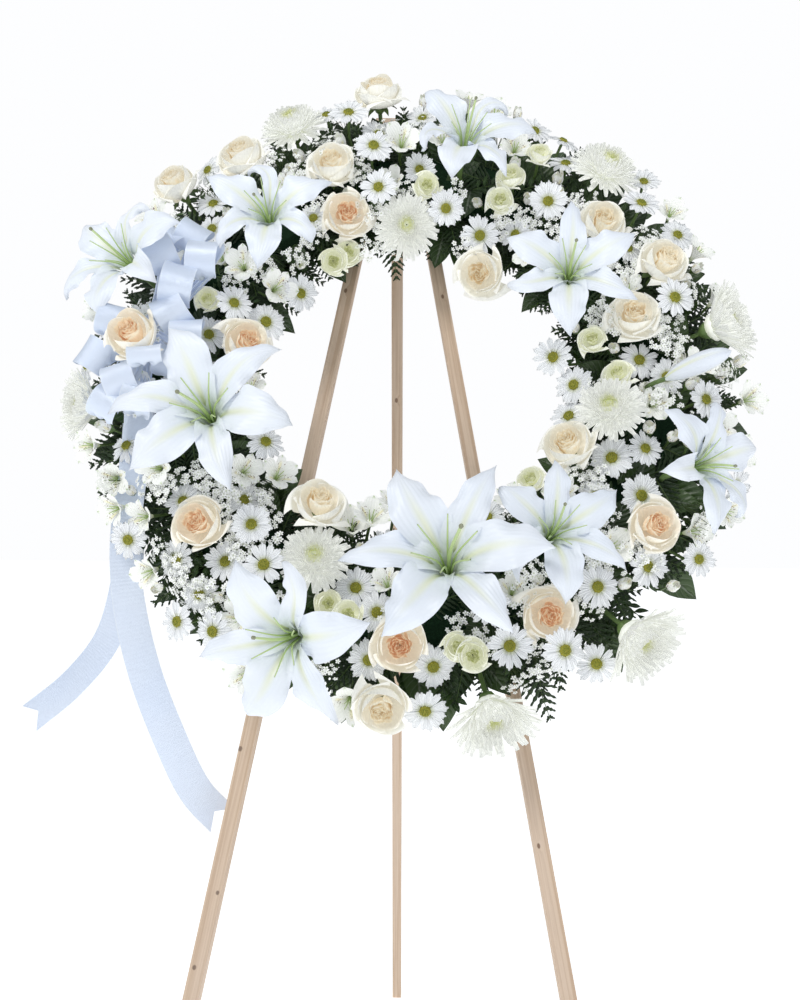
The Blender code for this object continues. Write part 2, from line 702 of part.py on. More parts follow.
def ribbon(points, width, notch=0.0):
    """Band through stations of a centre, side and face, with a swallow tail where a notch is given."""
    rings = []
    for k, (centre, side, face, share) in enumerate(points):
        half = side * width / 2 * share
        back = face * RIBBON_THICK
        if not notch:
            rings.append([centre - half, centre + half, centre + half - back, centre - half - back])
            continue
        inset = Vector()
        if k == len(points) - 1:
            inset = (points[k - 1][0] - centre).normalized() * notch
        rings.append([centre - half, centre + inset, centre + half,
                      centre + half - back, centre + inset - back, centre - half - back])
    return loft(rings, (0, 0, 0, 1, 1, 0) if notch else BAND)


def loop_points(direction, length, rise):
    """Stations of one loop of the bow, out from the knot and back over itself, pinched at the knot."""
    a = math.radians(direction)
    out = Vector((math.cos(a), math.sin(a), 0))
    side = Vector((-math.sin(a), math.cos(a), 0))
    knot = Vector(KNOT)
    shape = ((0.06, -0.06), (0.42, -0.16), (0.84, -0.12), (1.0, 0.10), (0.86, 0.36), (0.46, 0.38), (0.06, 0.08))
    stations = []
    for k, (x, z) in enumerate(shape):
        before = shape[max(0, k - 1)]
        after = shape[min(len(shape) - 1, k + 1)]
        run = out * (after[0] - before[0]) + Vector((0, 0, after[1] - before[1]))
        face = run.normalized().cross(side)
        share = min(1.0, 0.24 + 0.75 * x * length / RIBBON_WIDTH)
        lift = z * LOOP_DEPTH + rise * min(1, 2 * x)
        stations.append((knot + out * x * length + Vector((0, 0, lift)), side, face, share))
    return stations


def tail_points(route):
    stations = []
    for k, (u, v, n, turn) in enumerate(route):
        before = Vector(route[max(0, k - 1)][:3])
        after = Vector(route[min(len(route) - 1, k + 1)][:3])
        a = math.radians(turn)
        side = Vector((math.cos(a), math.sin(a), 0))
        face = side.cross((after - before).normalized()) * -1
        stations.append((Vector((u, v, n)), side, face, 0.45 if k == 0 else 1.0))
    return stations


def build_bow(home, frame):
    look = material("ribbon_satin", SATIN, 0.3)
    knot = Vector(KNOT)
    ball = [circle(knot + Vector((0, 0, z)), Vector((0, 0, 1)), r, 8) for z, r in
            ((-0.014, 0.008), (-0.007, KNOT_RADIUS), (0.007, KNOT_RADIUS), (0.014, 0.008))]
    pick = (knot - Vector((0, 0, 0.008)), Vector((0.94 * knot.x, 0.94 * knot.y, FOAM_TOP - STEM_DEPTH)))
    pieces = [loft(ball), rod(pick, PEG_RADIUS, 4)]
    pieces += [ribbon(loop_points(*loop), RIBBON_WIDTH) for loop in LOOPS]
    pieces.append(ribbon(tail_points(LONG_TAIL), RIBBON_WIDTH, 0.014))
    pieces.append(ribbon(tail_points(SHORT_TAIL), RIBBON_WIDTH, 0.014))
    made = fuse("ribbon_bow", pieces, look, home)
    made.data.transform(frame)
    return pick


def turned_ring(section):
    """Ring turned about the wreath's axis from a section of radius and height."""
    rings = []
    for k in range(RING_SIDES):
        a = math.tau * k / RING_SIDES
        rings.append([Vector((r * math.cos(a), r * math.sin(a), z)) for r, z in section])
    mesh = bmesh.new()
    rows = [[mesh.verts.new(point) for point in ring] for ring in rings]
    for k, row in enumerate(rows):
        after = rows[(k + 1) % RING_SIDES]
        for j in range(len(row)):
            following = (j + 1) % len(row)
            mesh.faces.new((row[j], after[j], after[following], row[following]))
    bmesh.ops.recalc_face_normals(mesh, faces=mesh.faces[:])
    bmesh.ops.triangulate(mesh, faces=mesh.faces[:])
    return mesh


def leg_line(sign, v):
    """Place of a front leg's centre line at a height v of the wreath's frame."""
    return sign * (LEG_OFFSET + math.tan(SPLAY) * (WREATH_DROP - v)) - WREATH_ASIDE


def tie_routes():
    """Wires that pass behind the front legs, with both ends up through the tray into the foam."""
    back = -LEG_DEPTH - FIT - 0.0010
    end = 0.018
    half = LEG_WIDTH / 2 / math.cos(SPLAY) + 0.004
    low = -0.242
    high = 0.266
    routes = {}
    for name, sign, v in (("wire_tie_left", -1, low), ("wire_tie_right", 1, low), ("wire_tie_top", -1, high)):
        a = leg_line(sign, v) - half
        b = leg_line(sign, v) + half
        routes[name] = (Vector((a, v, end)), Vector((a, v, back)), Vector((b, v, back)), Vector((b, v, end)))
    return routes


def build_ring(home, frame, holes, pegs):
    """Foam in its tray, with holes for the stems and the wires."""
    tray = ((RING_RADIUS - TRAY_HALF, FIT), (RING_RADIUS + TRAY_HALF, FIT), (RING_RADIUS + TRAY_HALF, TRAY_HEIGHT),
            (RING_RADIUS + TRAY_HALF - TRAY_WALL, TRAY_HEIGHT), (RING_RADIUS + TRAY_HALF - TRAY_WALL, TRAY_WALL),
            (RING_RADIUS - TRAY_HALF + TRAY_WALL, TRAY_WALL), (RING_RADIUS - TRAY_HALF + TRAY_WALL, TRAY_HEIGHT),
            (RING_RADIUS - TRAY_HALF, TRAY_HEIGHT))
    foam = ((RING_RADIUS - FOAM_HALF, TRAY_WALL + FIT), (RING_RADIUS + FOAM_HALF, TRAY_WALL + FIT),
            (RING_RADIUS + FOAM_HALF, FOAM_TOP - 0.008), (RING_RADIUS + FOAM_HALF - 0.008, FOAM_TOP),
            (RING_RADIUS - FOAM_HALF + 0.008, FOAM_TOP), (RING_RADIUS - FOAM_HALF, FOAM_TOP - 0.008))
    wires = tie_routes()
    for outer, inner in pegs:
        run = (outer - inner).normalized()
        holes.append(rod((inner - run * 0.0006, outer + run * 0.002), PEG_RADIUS + STEM_GAP, 4))
    wire_holes = []
    for a, b, c, d in wires.values():
        for tip, back in ((a, b), (d, c)):
            wire_holes.append((tip + Vector((0, 0, 0.001)), back))
    holes += [rod(hole, 0.0016, 4) for hole in wire_holes]
    made = add_object("foam_ring", turned_ring(foam), material("floral_foam", FOAM_GREEN, 0.9), home)
    combine(made, holes, "DIFFERENCE")
    made.data.transform(frame)
    made = add_object("foam_tray", turned_ring(tray), material("tray_plastic", TRAY_GREEN, 0.5), home)
    combine(made, [rod(hole, 0.0016, 4) for hole in wire_holes], "DIFFERENCE")
    made.data.transform(frame)
    for name, route in wires.items():
        made = add_object(name, rod(route, 0.0009, 4), material("tie_wire", STEEL, 0.4, 0.9), home)
        made.data.transform(frame)


def bar(matrix, top, bottom):
    """Square-edged wooden leg along its own z, drilled across for the bolt."""
    mesh = bmesh.new()
    bmesh.ops.create_cube(mesh, size=1)
    shape = Matrix.Translation((0, 0, (top + bottom) / 2)) @ Matrix.Diagonal((LEG_WIDTH, LEG_DEPTH, top - bottom, 1))
    bmesh.ops.transform(mesh, matrix=matrix @ shape, verts=mesh.verts)
    return mesh


def trim(mesh, point, normal):
    """Cuts a mesh flat at a plane and closes the cut."""
    found = bmesh.ops.bisect_plane(mesh, geom=mesh.verts[:] + mesh.edges[:] + mesh.faces[:], plane_co=point,
                                   plane_no=normal, clear_outer=True)
    edges = [item for item in found["geom_cut"] if isinstance(item, bmesh.types.BMEdge)]
    bmesh.ops.edgenet_fill(mesh, edges=edges)
    bmesh.ops.recalc_face_normals(mesh, faces=mesh.faces[:])


def round_bar(radius, length, sides, centre=0.0):
    """Cylinder along X at the bolt's height."""
    mesh = bmesh.new()
    bmesh.ops.create_cone(mesh, cap_ends=True, segments=sides, radius1=radius, radius2=radius, depth=length)
    bmesh.ops.transform(mesh, matrix=Matrix.Translation((centre, 0, BOLT_HEIGHT)) @ Matrix.Rotation(math.pi / 2, 4, "Y"),
                        verts=mesh.verts)
    return mesh


def build_easel(home, frame):
    wood = material("pine", PINE, 0.6)
    steel = material("bolt_steel", STEEL, 0.35, 0.9)
    out = Vector((0, -math.cos(LEAN), math.sin(LEAN)))
    lean = Matrix.Rotation(-LEAN, 4, "X")
    for name, sign in (("leg_front_left", -1), ("leg_front_right", 1)):
        matrix = Matrix.Translation((sign * LEG_OFFSET, 0, BOLT_HEIGHT)) @ lean @ Matrix.Rotation(-sign * SPLAY, 4, "Y")
        mesh = bar(matrix, LEG_HEAD, -LEG_LENGTH - 0.03)
        trim(mesh, Vector(), Vector((0, 0, -1)))
        made = add_object(name, mesh, wood, home)
        combine(made, [round_bar(BOLT_HOLE, 0.09, 12)], "DIFFERENCE")
    matrix = Matrix.Translation((0, 0, BOLT_HEIGHT)) @ Matrix.Rotation(REAR_SWING, 4, "X")
    mesh = bar(matrix, LEG_HEAD, -LEG_LENGTH - 0.03)
    trim(mesh, Vector(), Vector((0, 0, -1)))
    for degrees in HEAD_CUTS:
        ahead = Matrix.Rotation(math.radians(degrees), 3, "X") @ out
        trim(mesh, Vector((0, 0, BOLT_HEIGHT)) + ahead * LEG_DEPTH / 2, ahead)
    made = add_object("leg_rear", mesh, wood, home)
    combine(made, [round_bar(BOLT_HOLE, 0.09, 12)], "DIFFERENCE")
    reach = LEG_OFFSET + LEG_WIDTH / 2 + 0.004
    bolt = [round_bar(BOLT_RADIUS, 2 * reach + 0.008, 12), round_bar(0.0065, 0.004, 12, -reach - 0.002),
            round_bar(0.0062, 0.005, 6, reach + 0.0025)]
    fuse("hinge_bolt", bolt, steel, home)
    cleat = bmesh.new()
    bmesh.ops.create_cube(cleat, size=1)
    size = Matrix.Diagonal((0.058, 0.022, 0.008, 1))
    place = Vector((-WREATH_ASIDE, WREATH_DROP + 0.003, 0.004 + FIT))
    bmesh.ops.transform(cleat, matrix=frame @ Matrix.Translation(place) @ size, verts=cleat.verts)
    add_object("head_cleat", cleat, wood, home)


def centre_on_origin(home):
    """Moves every part so that the box's middle stands over the origin."""
    corners = [item.matrix_world @ vert.co for item in home.objects for vert in item.data.vertices]
    xs = [point.x for point in corners]
    ys = [point.y for point in corners]
    zs = [point.z for point in corners]
    shift = Vector((-(min(xs) + max(xs)) / 2, -(min(ys) + max(ys)) / 2, -min(zs)))
    for item in home.objects:
        item.data.transform(Matrix.Translation(shift))
    size = (max(xs) - min(xs), max(ys) - min(ys), max(zs) - min(zs))
    print("size", [round(value, 4) for value in size], "shift", [round(value, 5) for value in shift])
    print("bolt axis", [round(value, 5) for value in shift + Vector((0, 0, BOLT_HEIGHT))])


def main():
    clear_scene()
    home = collection(OBJECT)
    frame = wreath_frame()
    build_easel(home, frame)
    holes = build_blooms(home, frame)
    pegs = build_greens(home, frame)
    pegs.append(build_bow(home, frame))
    build_ring(home, frame, holes, pegs)
    centre_on_origin(home)


main()
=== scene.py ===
# %% [markdown]
# # A standing funeral wreath
#
# The measured model comes first: its ring of foam, its stems, its easel and its hinge are already
# in place, in metres, with the flowers facing -Y. Everything below dresses that model.

# %% Load the measured model
import math
import random

import bpy
import numpy as np
from mathutils import Matrix, Vector


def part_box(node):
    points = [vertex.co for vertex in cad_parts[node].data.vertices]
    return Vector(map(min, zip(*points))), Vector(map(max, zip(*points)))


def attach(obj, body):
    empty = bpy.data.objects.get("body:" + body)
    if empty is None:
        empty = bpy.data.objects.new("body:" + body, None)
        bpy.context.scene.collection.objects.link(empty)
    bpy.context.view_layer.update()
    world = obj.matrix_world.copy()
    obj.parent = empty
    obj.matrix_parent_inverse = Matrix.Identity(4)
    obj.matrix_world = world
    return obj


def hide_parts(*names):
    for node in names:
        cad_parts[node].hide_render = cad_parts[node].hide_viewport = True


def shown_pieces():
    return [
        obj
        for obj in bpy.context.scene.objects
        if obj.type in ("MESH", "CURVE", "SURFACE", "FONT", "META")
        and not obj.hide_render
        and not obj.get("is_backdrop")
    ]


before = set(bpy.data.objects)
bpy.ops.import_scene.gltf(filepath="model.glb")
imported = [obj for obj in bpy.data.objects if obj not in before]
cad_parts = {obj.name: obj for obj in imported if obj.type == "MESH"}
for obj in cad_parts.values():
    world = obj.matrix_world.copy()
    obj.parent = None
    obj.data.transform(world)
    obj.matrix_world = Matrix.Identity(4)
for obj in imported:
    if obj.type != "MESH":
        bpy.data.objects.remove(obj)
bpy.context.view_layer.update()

BODY = "stand_and_wreath"

# %% [markdown]
# ## The wreath's own frame
#
# Flowers are easiest to lay out on the flat face of the ring: u to the right, v up along the leaning
# legs and n straight out. One matrix carries those three numbers to the world. It is built from the
# easel's lean and the bolt's place, which are the same values that the model was made from.

# %% Frame of the wreath
LEAN = math.radians(16.4)
SPLAY = math.radians(9.3)
BOLT = Vector((-0.00513, -0.03319, 1.44278))
LEG_LENGTH = 1.524
LEG_DEPTH = 0.018
LEG_OFFSET = 0.020
WREATH_DROP = 0.3985
WREATH_ASIDE = 0.026
RING_RADIUS = 0.280
FOAM_HALF = 0.0375
FOAM_TOP = 0.056
COVER_HALF = 0.128
COVER_TILT = 0.75

across_axis = Vector((1, 0, 0))
up_axis = Vector((0, math.sin(LEAN), math.cos(LEAN)))
out_axis = Vector((0, -math.cos(LEAN), math.sin(LEAN)))
ring_centre = BOLT + across_axis * WREATH_ASIDE - up_axis * WREATH_DROP + out_axis * LEG_DEPTH / 2
WREATH = Matrix.Translation(ring_centre) @ Matrix((across_axis, up_axis, out_axis)).transposed().to_4x4()
foam_low, foam_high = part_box("foam_ring")
print("ring centre", [round(value, 4) for value in ring_centre],
      "foam middle", [round(value, 4) for value in (foam_low + foam_high) / 2])

# %% [markdown]
# ## Camera
#
# The photograph was taken from close by, a little below the middle of the ring. A pinhole fitted to
# the easel's legs gives the lens and the small turns below. The camera is made early.

# %% Camera at the photograph's place
yaw, pitch, roll = (math.radians(angle) for angle in (-1.37, 0.65, 0.55))
forward = Vector((math.sin(yaw) * math.cos(pitch), math.cos(yaw) * math.cos(pitch), math.sin(pitch)))
level = Vector((math.cos(yaw), -math.sin(yaw), 0))
above = level.cross(forward)
right = level * math.cos(roll) + above * math.sin(roll)
top = above * math.cos(roll) - level * math.sin(roll)
camera_data = bpy.data.cameras.new("camera")
camera_data.sensor_width = 36
camera_data.lens = 32.4
camera_data.clip_start = 0.05
camera = bpy.data.objects.new("camera", camera_data)
bpy.context.scene.collection.objects.link(camera)
CAMERA_PLACE = (0.033, -1.270, 0.925)
camera.matrix_world = Matrix.Translation(CAMERA_PLACE) @ Matrix((right, top, -forward)).transposed().to_4x4()
bpy.context.scene.camera = camera
print("camera at", [round(value, 3) for value in camera.location], "lens", camera_data.lens)

# %% [markdown]
# ## Light and floor
#
# White petals need light from all round, or their shaded sides turn grey and dirty. A bright, slightly
# cool sky does most of the work, a wide soft lamp above and in front models the petals, and a fainter
# warm one fills from the right. The sky lights the flowers less brightly than it shows itself, so the
# background stays white while the petals keep their folds. The floor is plain and pale.

# %% Sky, lamps and floor
scene = bpy.context.scene
scene.view_settings.view_transform = "Standard"
world = bpy.data.worlds.new("sky")
world.use_nodes = True
sky = world.node_tree.nodes["Background"]
sky.inputs["Color"].default_value = (0.90, 0.95, 1.0, 1)
sky.inputs["Strength"].default_value = 0.50
paper = world.node_tree.nodes.new("ShaderNodeBackground")
paper.inputs["Color"].default_value = (0.985, 0.99, 1.0, 1)
seen = world.node_tree.nodes.new("ShaderNodeLightPath")
blend = world.node_tree.nodes.new("ShaderNodeMixShader")
links = world.node_tree.links
links.new(seen.outputs["Is Camera Ray"], blend.inputs[0])
links.new(sky.outputs[0], blend.inputs[1])
links.new(paper.outputs[0], blend.inputs[2])
links.new(blend.outputs[0], world.node_tree.nodes["World Output"].inputs["Surface"])
scene.world = world


def soft_lamp(name, place, aim, size, power, colour):
    lamp = bpy.data.lights.new(name, "AREA")
    lamp.shape = "DISK"
    lamp.size = size
    lamp.energy = power
    lamp.color = colour
    holder = bpy.data.objects.new(name, lamp)
    scene.collection.objects.link(holder)
    holder.location = place
    holder.rotation_mode = "QUATERNION"
    holder.rotation_quaternion = (Vector(aim) - Vector(place)).to_track_quat("-Z", "Y")


soft_lamp("key_lamp", (-1.2, -2.0, 3.2), (0, -0.1, 1.05), 1.1, 36, (1.0, 0.985, 0.96))
soft_lamp("fill_lamp", (2.4, -1.8, 1.5), (0, -0.1, 1.0), 1.8, 7, (1.0, 0.96, 0.92))
floor_data = bpy.data.meshes.new("floor")
floor_data.from_pydata([(-14, -14, 0), (14, -14, 0), (14, 14, 0), (-14, 14, 0)], [], [(0, 1, 2, 3)])
floor = bpy.data.objects.new("floor", floor_data)
scene.collection.objects.link(floor)
floor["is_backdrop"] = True
print("lamps and floor made")

# %% [markdown]
# ## Shader maths as plain arithmetic
#
# Each finish here is worked out from numbers that change over a petal: how far along it a point is,
# how far across, and one number for the whole petal. Wiring dozens of Math nodes by hand hides the
# idea, so a small class lets us write `1 - along * 2` and adds the nodes itself. Colours and vectors
# go through Mix and Vector Math instead, because a Math node would turn them grey.

# %% Signals and finishes
class Signal:
    """A value that changes over a surface; arithmetic on it adds Math nodes."""

    def __init__(self, finish, socket):
        self.finish = finish
        self.socket = socket

    def maths(self, operation, first, second=0.0):
        return self.finish.node("ShaderNodeMath", {"operation": operation}, {0: first, 1: second})

    def __add__(self, other):
        return self.maths("ADD", self, other)

    def __sub__(self, other):
        return self.maths("SUBTRACT", self, other)

    def __rsub__(self, other):
        return self.maths("SUBTRACT", other, self)

    def __mul__(self, other):
        return self.maths("MULTIPLY", self, other)

    def __truediv__(self, other):
        return self.maths("DIVIDE", self, other)

    def __pow__(self, other):
        return self.maths("POWER", self, other)

    def __abs__(self):
        return self.maths("ABSOLUTE", self)

    __radd__ = __add__
    __rmul__ = __mul__

    def sine(self):
        return self.maths("SINE", self)

    def step(self, low, high):
        """Rises smoothly from 0 at low to 1 at high."""
        return self.finish.node("ShaderNodeMapRange", {"interpolation_type": "SMOOTHSTEP"},
                                {0: self, 1: low, 2: high, 3: 0.0, 4: 1.0})

    def output(self, name):
        return Signal(self.finish, self.socket.node.outputs[name])


class Finish:
    """A Principled material with fixed numbers on its own sockets and signals where it changes."""

    def __init__(self, name, fixed):
        self.material = bpy.data.materials.new(name)
        self.material.use_nodes = True
        self.tree = self.material.node_tree
        self.shader = self.tree.nodes["Principled BSDF"]
        for socket, value in fixed.items():
            self.shader.inputs[socket].default_value = value

    def node(self, kind, settings, values, output=0):
        made = self.tree.nodes.new(kind)
        for key, value in settings.items():
            setattr(made, key, value)
        for key, value in values.items():
            if isinstance(value, Signal):
                self.tree.links.new(value.socket, made.inputs[key])
            else:
                made.inputs[key].default_value = value
        return Signal(self, made.outputs[output])

    def marks(self):
        """How far along, how far across, and the number of the petal."""
        read = self.node("ShaderNodeAttribute", {"attribute_name": "grow"}, {}, "Vector")
        parts = self.node("ShaderNodeSeparateXYZ", {}, {0: read})
        return parts, parts.output("Y"), parts.output("Z")

    def here(self):
        return self.node("ShaderNodeTexCoord", {}, {}, "Object")

    def noise(self, scale, detail=2.0, place=None):
        return self.node("ShaderNodeTexNoise", {},
                         {"Vector": place or self.here(), "Scale": scale, "Detail": detail})

    def mix(self, share, first, second):
        """From the first colour to the second, each a signal or its red, green and blue."""
        first, second = (tone if isinstance(tone, Signal) else (*tone, 1.0) for tone in (first, second))
        return self.node("ShaderNodeMix", {"data_type": "RGBA"}, {0: share, 6: first, 7: second}, 2)

    def feed(self, name, signal):
        self.tree.links.new(signal.socket, self.shader.inputs[name])

    def colour_with_painted_glow(self, signal, glow):
        """Base colour, and a little of it again as a painted glow, standing in for the light that a thin petal
        lets through.
        """
        self.feed("Base Color", signal)
        # Painted glow: the surface gives off its own colour, so thin petals and their shaded folds stay light.
        self.feed("Emission Color", signal)
        self.shader.inputs["Emission Strength"].default_value = glow

    def bump(self, height, depth, strength=1.0):
        relief = self.node("ShaderNodeBump", {}, {"Height": height, "Distance": depth, "Strength": strength})
        self.feed("Normal", relief)


floor_finish = Finish("floor_paint", {"Roughness": 0.8})
floor_tone = floor_finish.noise(0.7)
floor_finish.colour_with_painted_glow(floor_finish.mix(floor_tone, (0.93, 0.93, 0.93), (0.95, 0.95, 0.95)), 0.72)
floor_data.materials.append(floor_finish.material)
print("shader helpers ready")

# %% [markdown]
# ## Growing meshes from grids
#
# A petal, a leaf and a stem are all the same thing to a mesh: a grid of points joined by squares. We
# shape each grid with formulas on its two directions, which keeps every petal different and every
# edge smooth. One object gathers all the grids of a flower, with the marks that its finish reads.

# %% Grid helpers
def smooth_run(keys, values, at):
    """Values on a smooth curve through keys."""
    keys = np.asarray(keys, float)
    values = np.asarray(values, float)
    slopes = np.gradient(values, keys, axis=0)
    at = np.clip(np.asarray(at, float), keys[0], keys[-1])
    k = np.clip(np.searchsorted(keys, at, "right") - 1, 0, len(keys) - 2)
    gap = keys[k + 1] - keys[k]
    t = (at - keys[k]) / gap
    if values.ndim > 1:
        t = t[..., None]
        gap = gap[..., None]
    return ((2 * t ** 3 - 3 * t ** 2 + 1) * values[k] + (t ** 3 - 2 * t ** 2 + t) * gap * slopes[k]
            + (3 * t ** 2 - 2 * t ** 3) * values[k + 1] + (t ** 3 - t ** 2) * gap * slopes[k + 1])


def unit(vectors):
    return vectors / np.maximum(np.linalg.norm(vectors, axis=-1, keepdims=True), 1e-9)


def carried(matrix, points):
    """Points moved by a matrix."""
    turn = np.array(matrix.to_3x3())
    return points @ turn.T + np.array(matrix.translation)


def lattice(rows, cols):
    """How far along each row of a petal lies, from 0 to 1, and how far across each column, from -1 to 1."""
    return np.linspace(0, 1, rows)[:, None], np.linspace(-1, 1, cols)[None, :]


def wrapped(radius, angle, height):
    """Points at a distance from a head's axis and an angle round it."""
    return np.stack([radius * np.cos(angle), radius * np.sin(angle), height + 0 * angle], -1)


def swung(radial, lateral, height, angle):
    """Points given outward, sideways and upward, swung round a head's axis."""
    return np.stack([radial * math.cos(angle) - lateral * math.sin(angle),
                     radial * math.sin(angle) + lateral * math.cos(angle), height + 0 * radial], -1)


def arched(slope, step, root, rise):
    """Outward and upward places of a petal that grows from its root along its slopes."""
    run = np.stack([np.cos(slope), np.sin(slope)], 1) * step
    line = np.concatenate([[root], root + np.cumsum(run[:-1], 0)])
    slope = slope[:, None]
    return line[:, :1] - rise * np.sin(slope), line[:, 1:] + rise * np.cos(slope)


class Growth:
    """Gathers grids of points into one mesh, with a mark on each point for its finish."""

    def __init__(self):
        self.points = []
        self.marks = []
        self.faces = []
        self.looks = []
        self.count = 0

    def grid(self, points, along, across, number, look=0, closed=False):
        rows, cols = points.shape[:2]
        index = np.arange(rows * cols).reshape(rows, cols) + self.count
        following = np.roll(index, -1, 1) if closed else index[:, 1:]
        index = index if closed else index[:, :-1]
        quads = np.stack([index[:-1], following[:-1], following[1:], index[1:]], -1).reshape(-1, 4)
        marks = np.empty((rows, cols, 3))
        marks[..., 0] = along
        marks[..., 1] = across
        marks[..., 2] = number
        self.points.append(points.reshape(-1, 3))
        self.marks.append(marks.reshape(-1, 3))
        self.faces.append(quads)
        self.looks.append(np.full(len(quads), look))
        self.count += rows * cols

    def tube(self, path, radii, sides=5, number=0.0, look=0):
        """Round stem along a path, closed by its last small radius."""
        path = np.asarray(path, float)
        radii = np.broadcast_to(np.asarray(radii, float), (len(path),))
        run = unit(np.gradient(path, axis=0))
        helper = np.array((0.31, 0.52, 0.79))
        side = unit(np.cross(run, helper))
        other = np.cross(run, side)
        turn = np.linspace(0, math.tau, sides, endpoint=False)
        ring = (side[:, None] * np.cos(turn)[None, :, None] + other[:, None] * np.sin(turn)[None, :, None])
        points = path[:, None] + ring * radii[:, None, None]
        along = np.linspace(0, 1, len(path))[:, None]
        self.grid(points, along, (turn / math.tau)[None, :], number, look, closed=True)

    def spindle(self, place, size, heights, radii, sides, number, look=0):
        """Rings one above another on a head's own axis."""
        path = np.array([(0, 0, height * size) for height in heights])
        self.tube(carried(place, path), np.array(radii) * size, sides, number, look)

    def make(self, name, finishes, nodes=()):
        """The mesh as a piece that rides with the wreath and stands for the model's nodes."""
        data = bpy.data.meshes.new(name)
        faces = np.concatenate(self.faces)
        data.from_pydata(np.concatenate(self.points), [], faces)
        data.attributes.new("grow", "FLOAT_VECTOR", "POINT").data.foreach_set(
            "vector", np.concatenate(self.marks).astype(np.float32).ravel())
        data.polygons.foreach_set("material_index", np.concatenate(self.looks).astype(np.int32))
        data.shade_smooth()
        for finish in finishes:
            data.materials.append(finish.material)
        piece = bpy.data.objects.new(name, data)
        scene.collection.objects.link(piece)
        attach(piece, BODY)
        if nodes:
            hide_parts(*nodes)
        return piece


def facing(centre, direction, spin=0.0):
    """Matrix from a head's own space, with z along its facing direction, to the world."""
    out = Vector(direction).normalized()
    side = (Vector((1, 0, 0)) - out * out.x).normalized()
    turn = Matrix((side, out.cross(side), out)).transposed().to_4x4()
    return WREATH @ Matrix.Translation(centre) @ turn @ Matrix.Rotation(spin, 4, "Z")


def cover_direction(u, v):
    """Direction out of the domed cover of blooms at a place on the ring."""
    radius = math.hypot(u, v)
    tilt = COVER_TILT * max(-1.0, min(1.0, (radius - RING_RADIUS) / COVER_HALF))
    return Vector((u / radius * tilt, v / radius * tilt, 1)).normalized()


def cover_height(radius, rim, rise):
    """Height of a dome over the ring, from its rim at the edges up to its crown."""
    return rim + rise * math.sqrt(max(0.0, 1 - ((radius - RING_RADIUS) / COVER_HALF) ** 2))


def foot_of(place):
    """Point in the foam where the stem of a head goes in."""
    local = WREATH.inverted() @ place.translation
    radius = max(RING_RADIUS - 0.024, min(RING_RADIUS + 0.024, math.hypot(local.x, local.y)))
    angle = math.atan2(local.y, local.x)
    return WREATH @ Vector((radius * math.cos(angle), radius * math.sin(angle), FOAM_TOP - 0.022))


def stem_to_foam(growth, place, base, radius, look, number=0.5):
    """Stem that leaves the head straight down its axis and bends into the foam."""
    start = place @ Vector((0, 0, base))
    foot = foot_of(place)
    down = (place.to_3x3() @ Vector((0, 0, -1))).normalized()
    reach = (foot - start).length
    bends = [start, start + down * reach * 0.35, start.lerp(foot, 0.7), foot]
    keys = np.linspace(0, 1, 4)
    path = smooth_run(keys, np.array([list(point) for point in bends]), np.linspace(0, 1, 7))
    growth.tube(path, radius, 6, number, look)


print("grid helpers ready")

# %% [markdown]
# ## Finishes for stems and leaves
#
# Plants share one green family, so stems and leaves come first. A leaf is darker and glossier on its
# face, with a paler midrib and side veins that press into it. The veins are a sine of the distance
# along, slanted by the distance across, which costs nothing in the mesh and follows every bend.

# %% Greens
def leaf_finish(name, deep, light, roughness, veins, vein_depth):
    made = Finish(name, {"Roughness": roughness, "Specular IOR Level": 0.45})
    along, across, number = made.marks()
    spread = abs(across)
    rib = 1 - spread.step(0.02, 0.13)
    ridge = ((along * veins - spread * veins * 0.22) * math.tau).sine()
    patch = made.noise(38.0, 3.0)
    tone = number * 0.6 + patch * 0.4
    base = made.mix(tone, deep, light)
    base = made.mix(ridge.step(0.80, 1.0) * 0.22 + rib * 0.55, base, [0.5 * a + 0.18 for a in light])
    made.feed("Base Color", base)
    made.bump(ridge * 0.5 - rib + made.noise(420.0) * 0.3, vein_depth)
    return made


salal_finish = leaf_finish("salal_leaf", (0.010, 0.028, 0.007), (0.058, 0.112, 0.024), 0.34, 9.0, 0.0006)
fern_finish = leaf_finish("fern_leaflet", (0.007, 0.024, 0.007), (0.038, 0.088, 0.020), 0.50, 12.0, 0.0004)
sprig_finish = leaf_finish("sprig_leaf", (0.014, 0.040, 0.010), (0.066, 0.132, 0.032), 0.42, 6.0, 0.0003)

STEM_RIDGES = 6
stem_finish = Finish("green_stem", {"Roughness": 0.48})
_, stem_round, stem_number = stem_finish.marks()
stem_streak = stem_finish.noise(90.0, 3.0)
stem_finish.feed("Base Color", stem_finish.mix(stem_streak * 0.6 + stem_number * 0.3, (0.055, 0.110, 0.030),
                                               (0.20, 0.30, 0.09)))
stem_finish.bump((stem_round * STEM_RIDGES * math.tau).sine() + stem_streak, 0.0002)
print("greens finished")

# %% [markdown]
# ## Lilies
#
# These white oriental lilies set the scale of the whole piece. Six tepals join in a trumpet, three
# broad and three narrow, rise, open flat and roll back at the tip. A flat cut-out with a bend would
# look like paper, so the middle line of each tepal is grown step by step from its own slope, and the
# roll at the tip is simply more slope. The margins ruffle, and the midrib sinks in a groove.

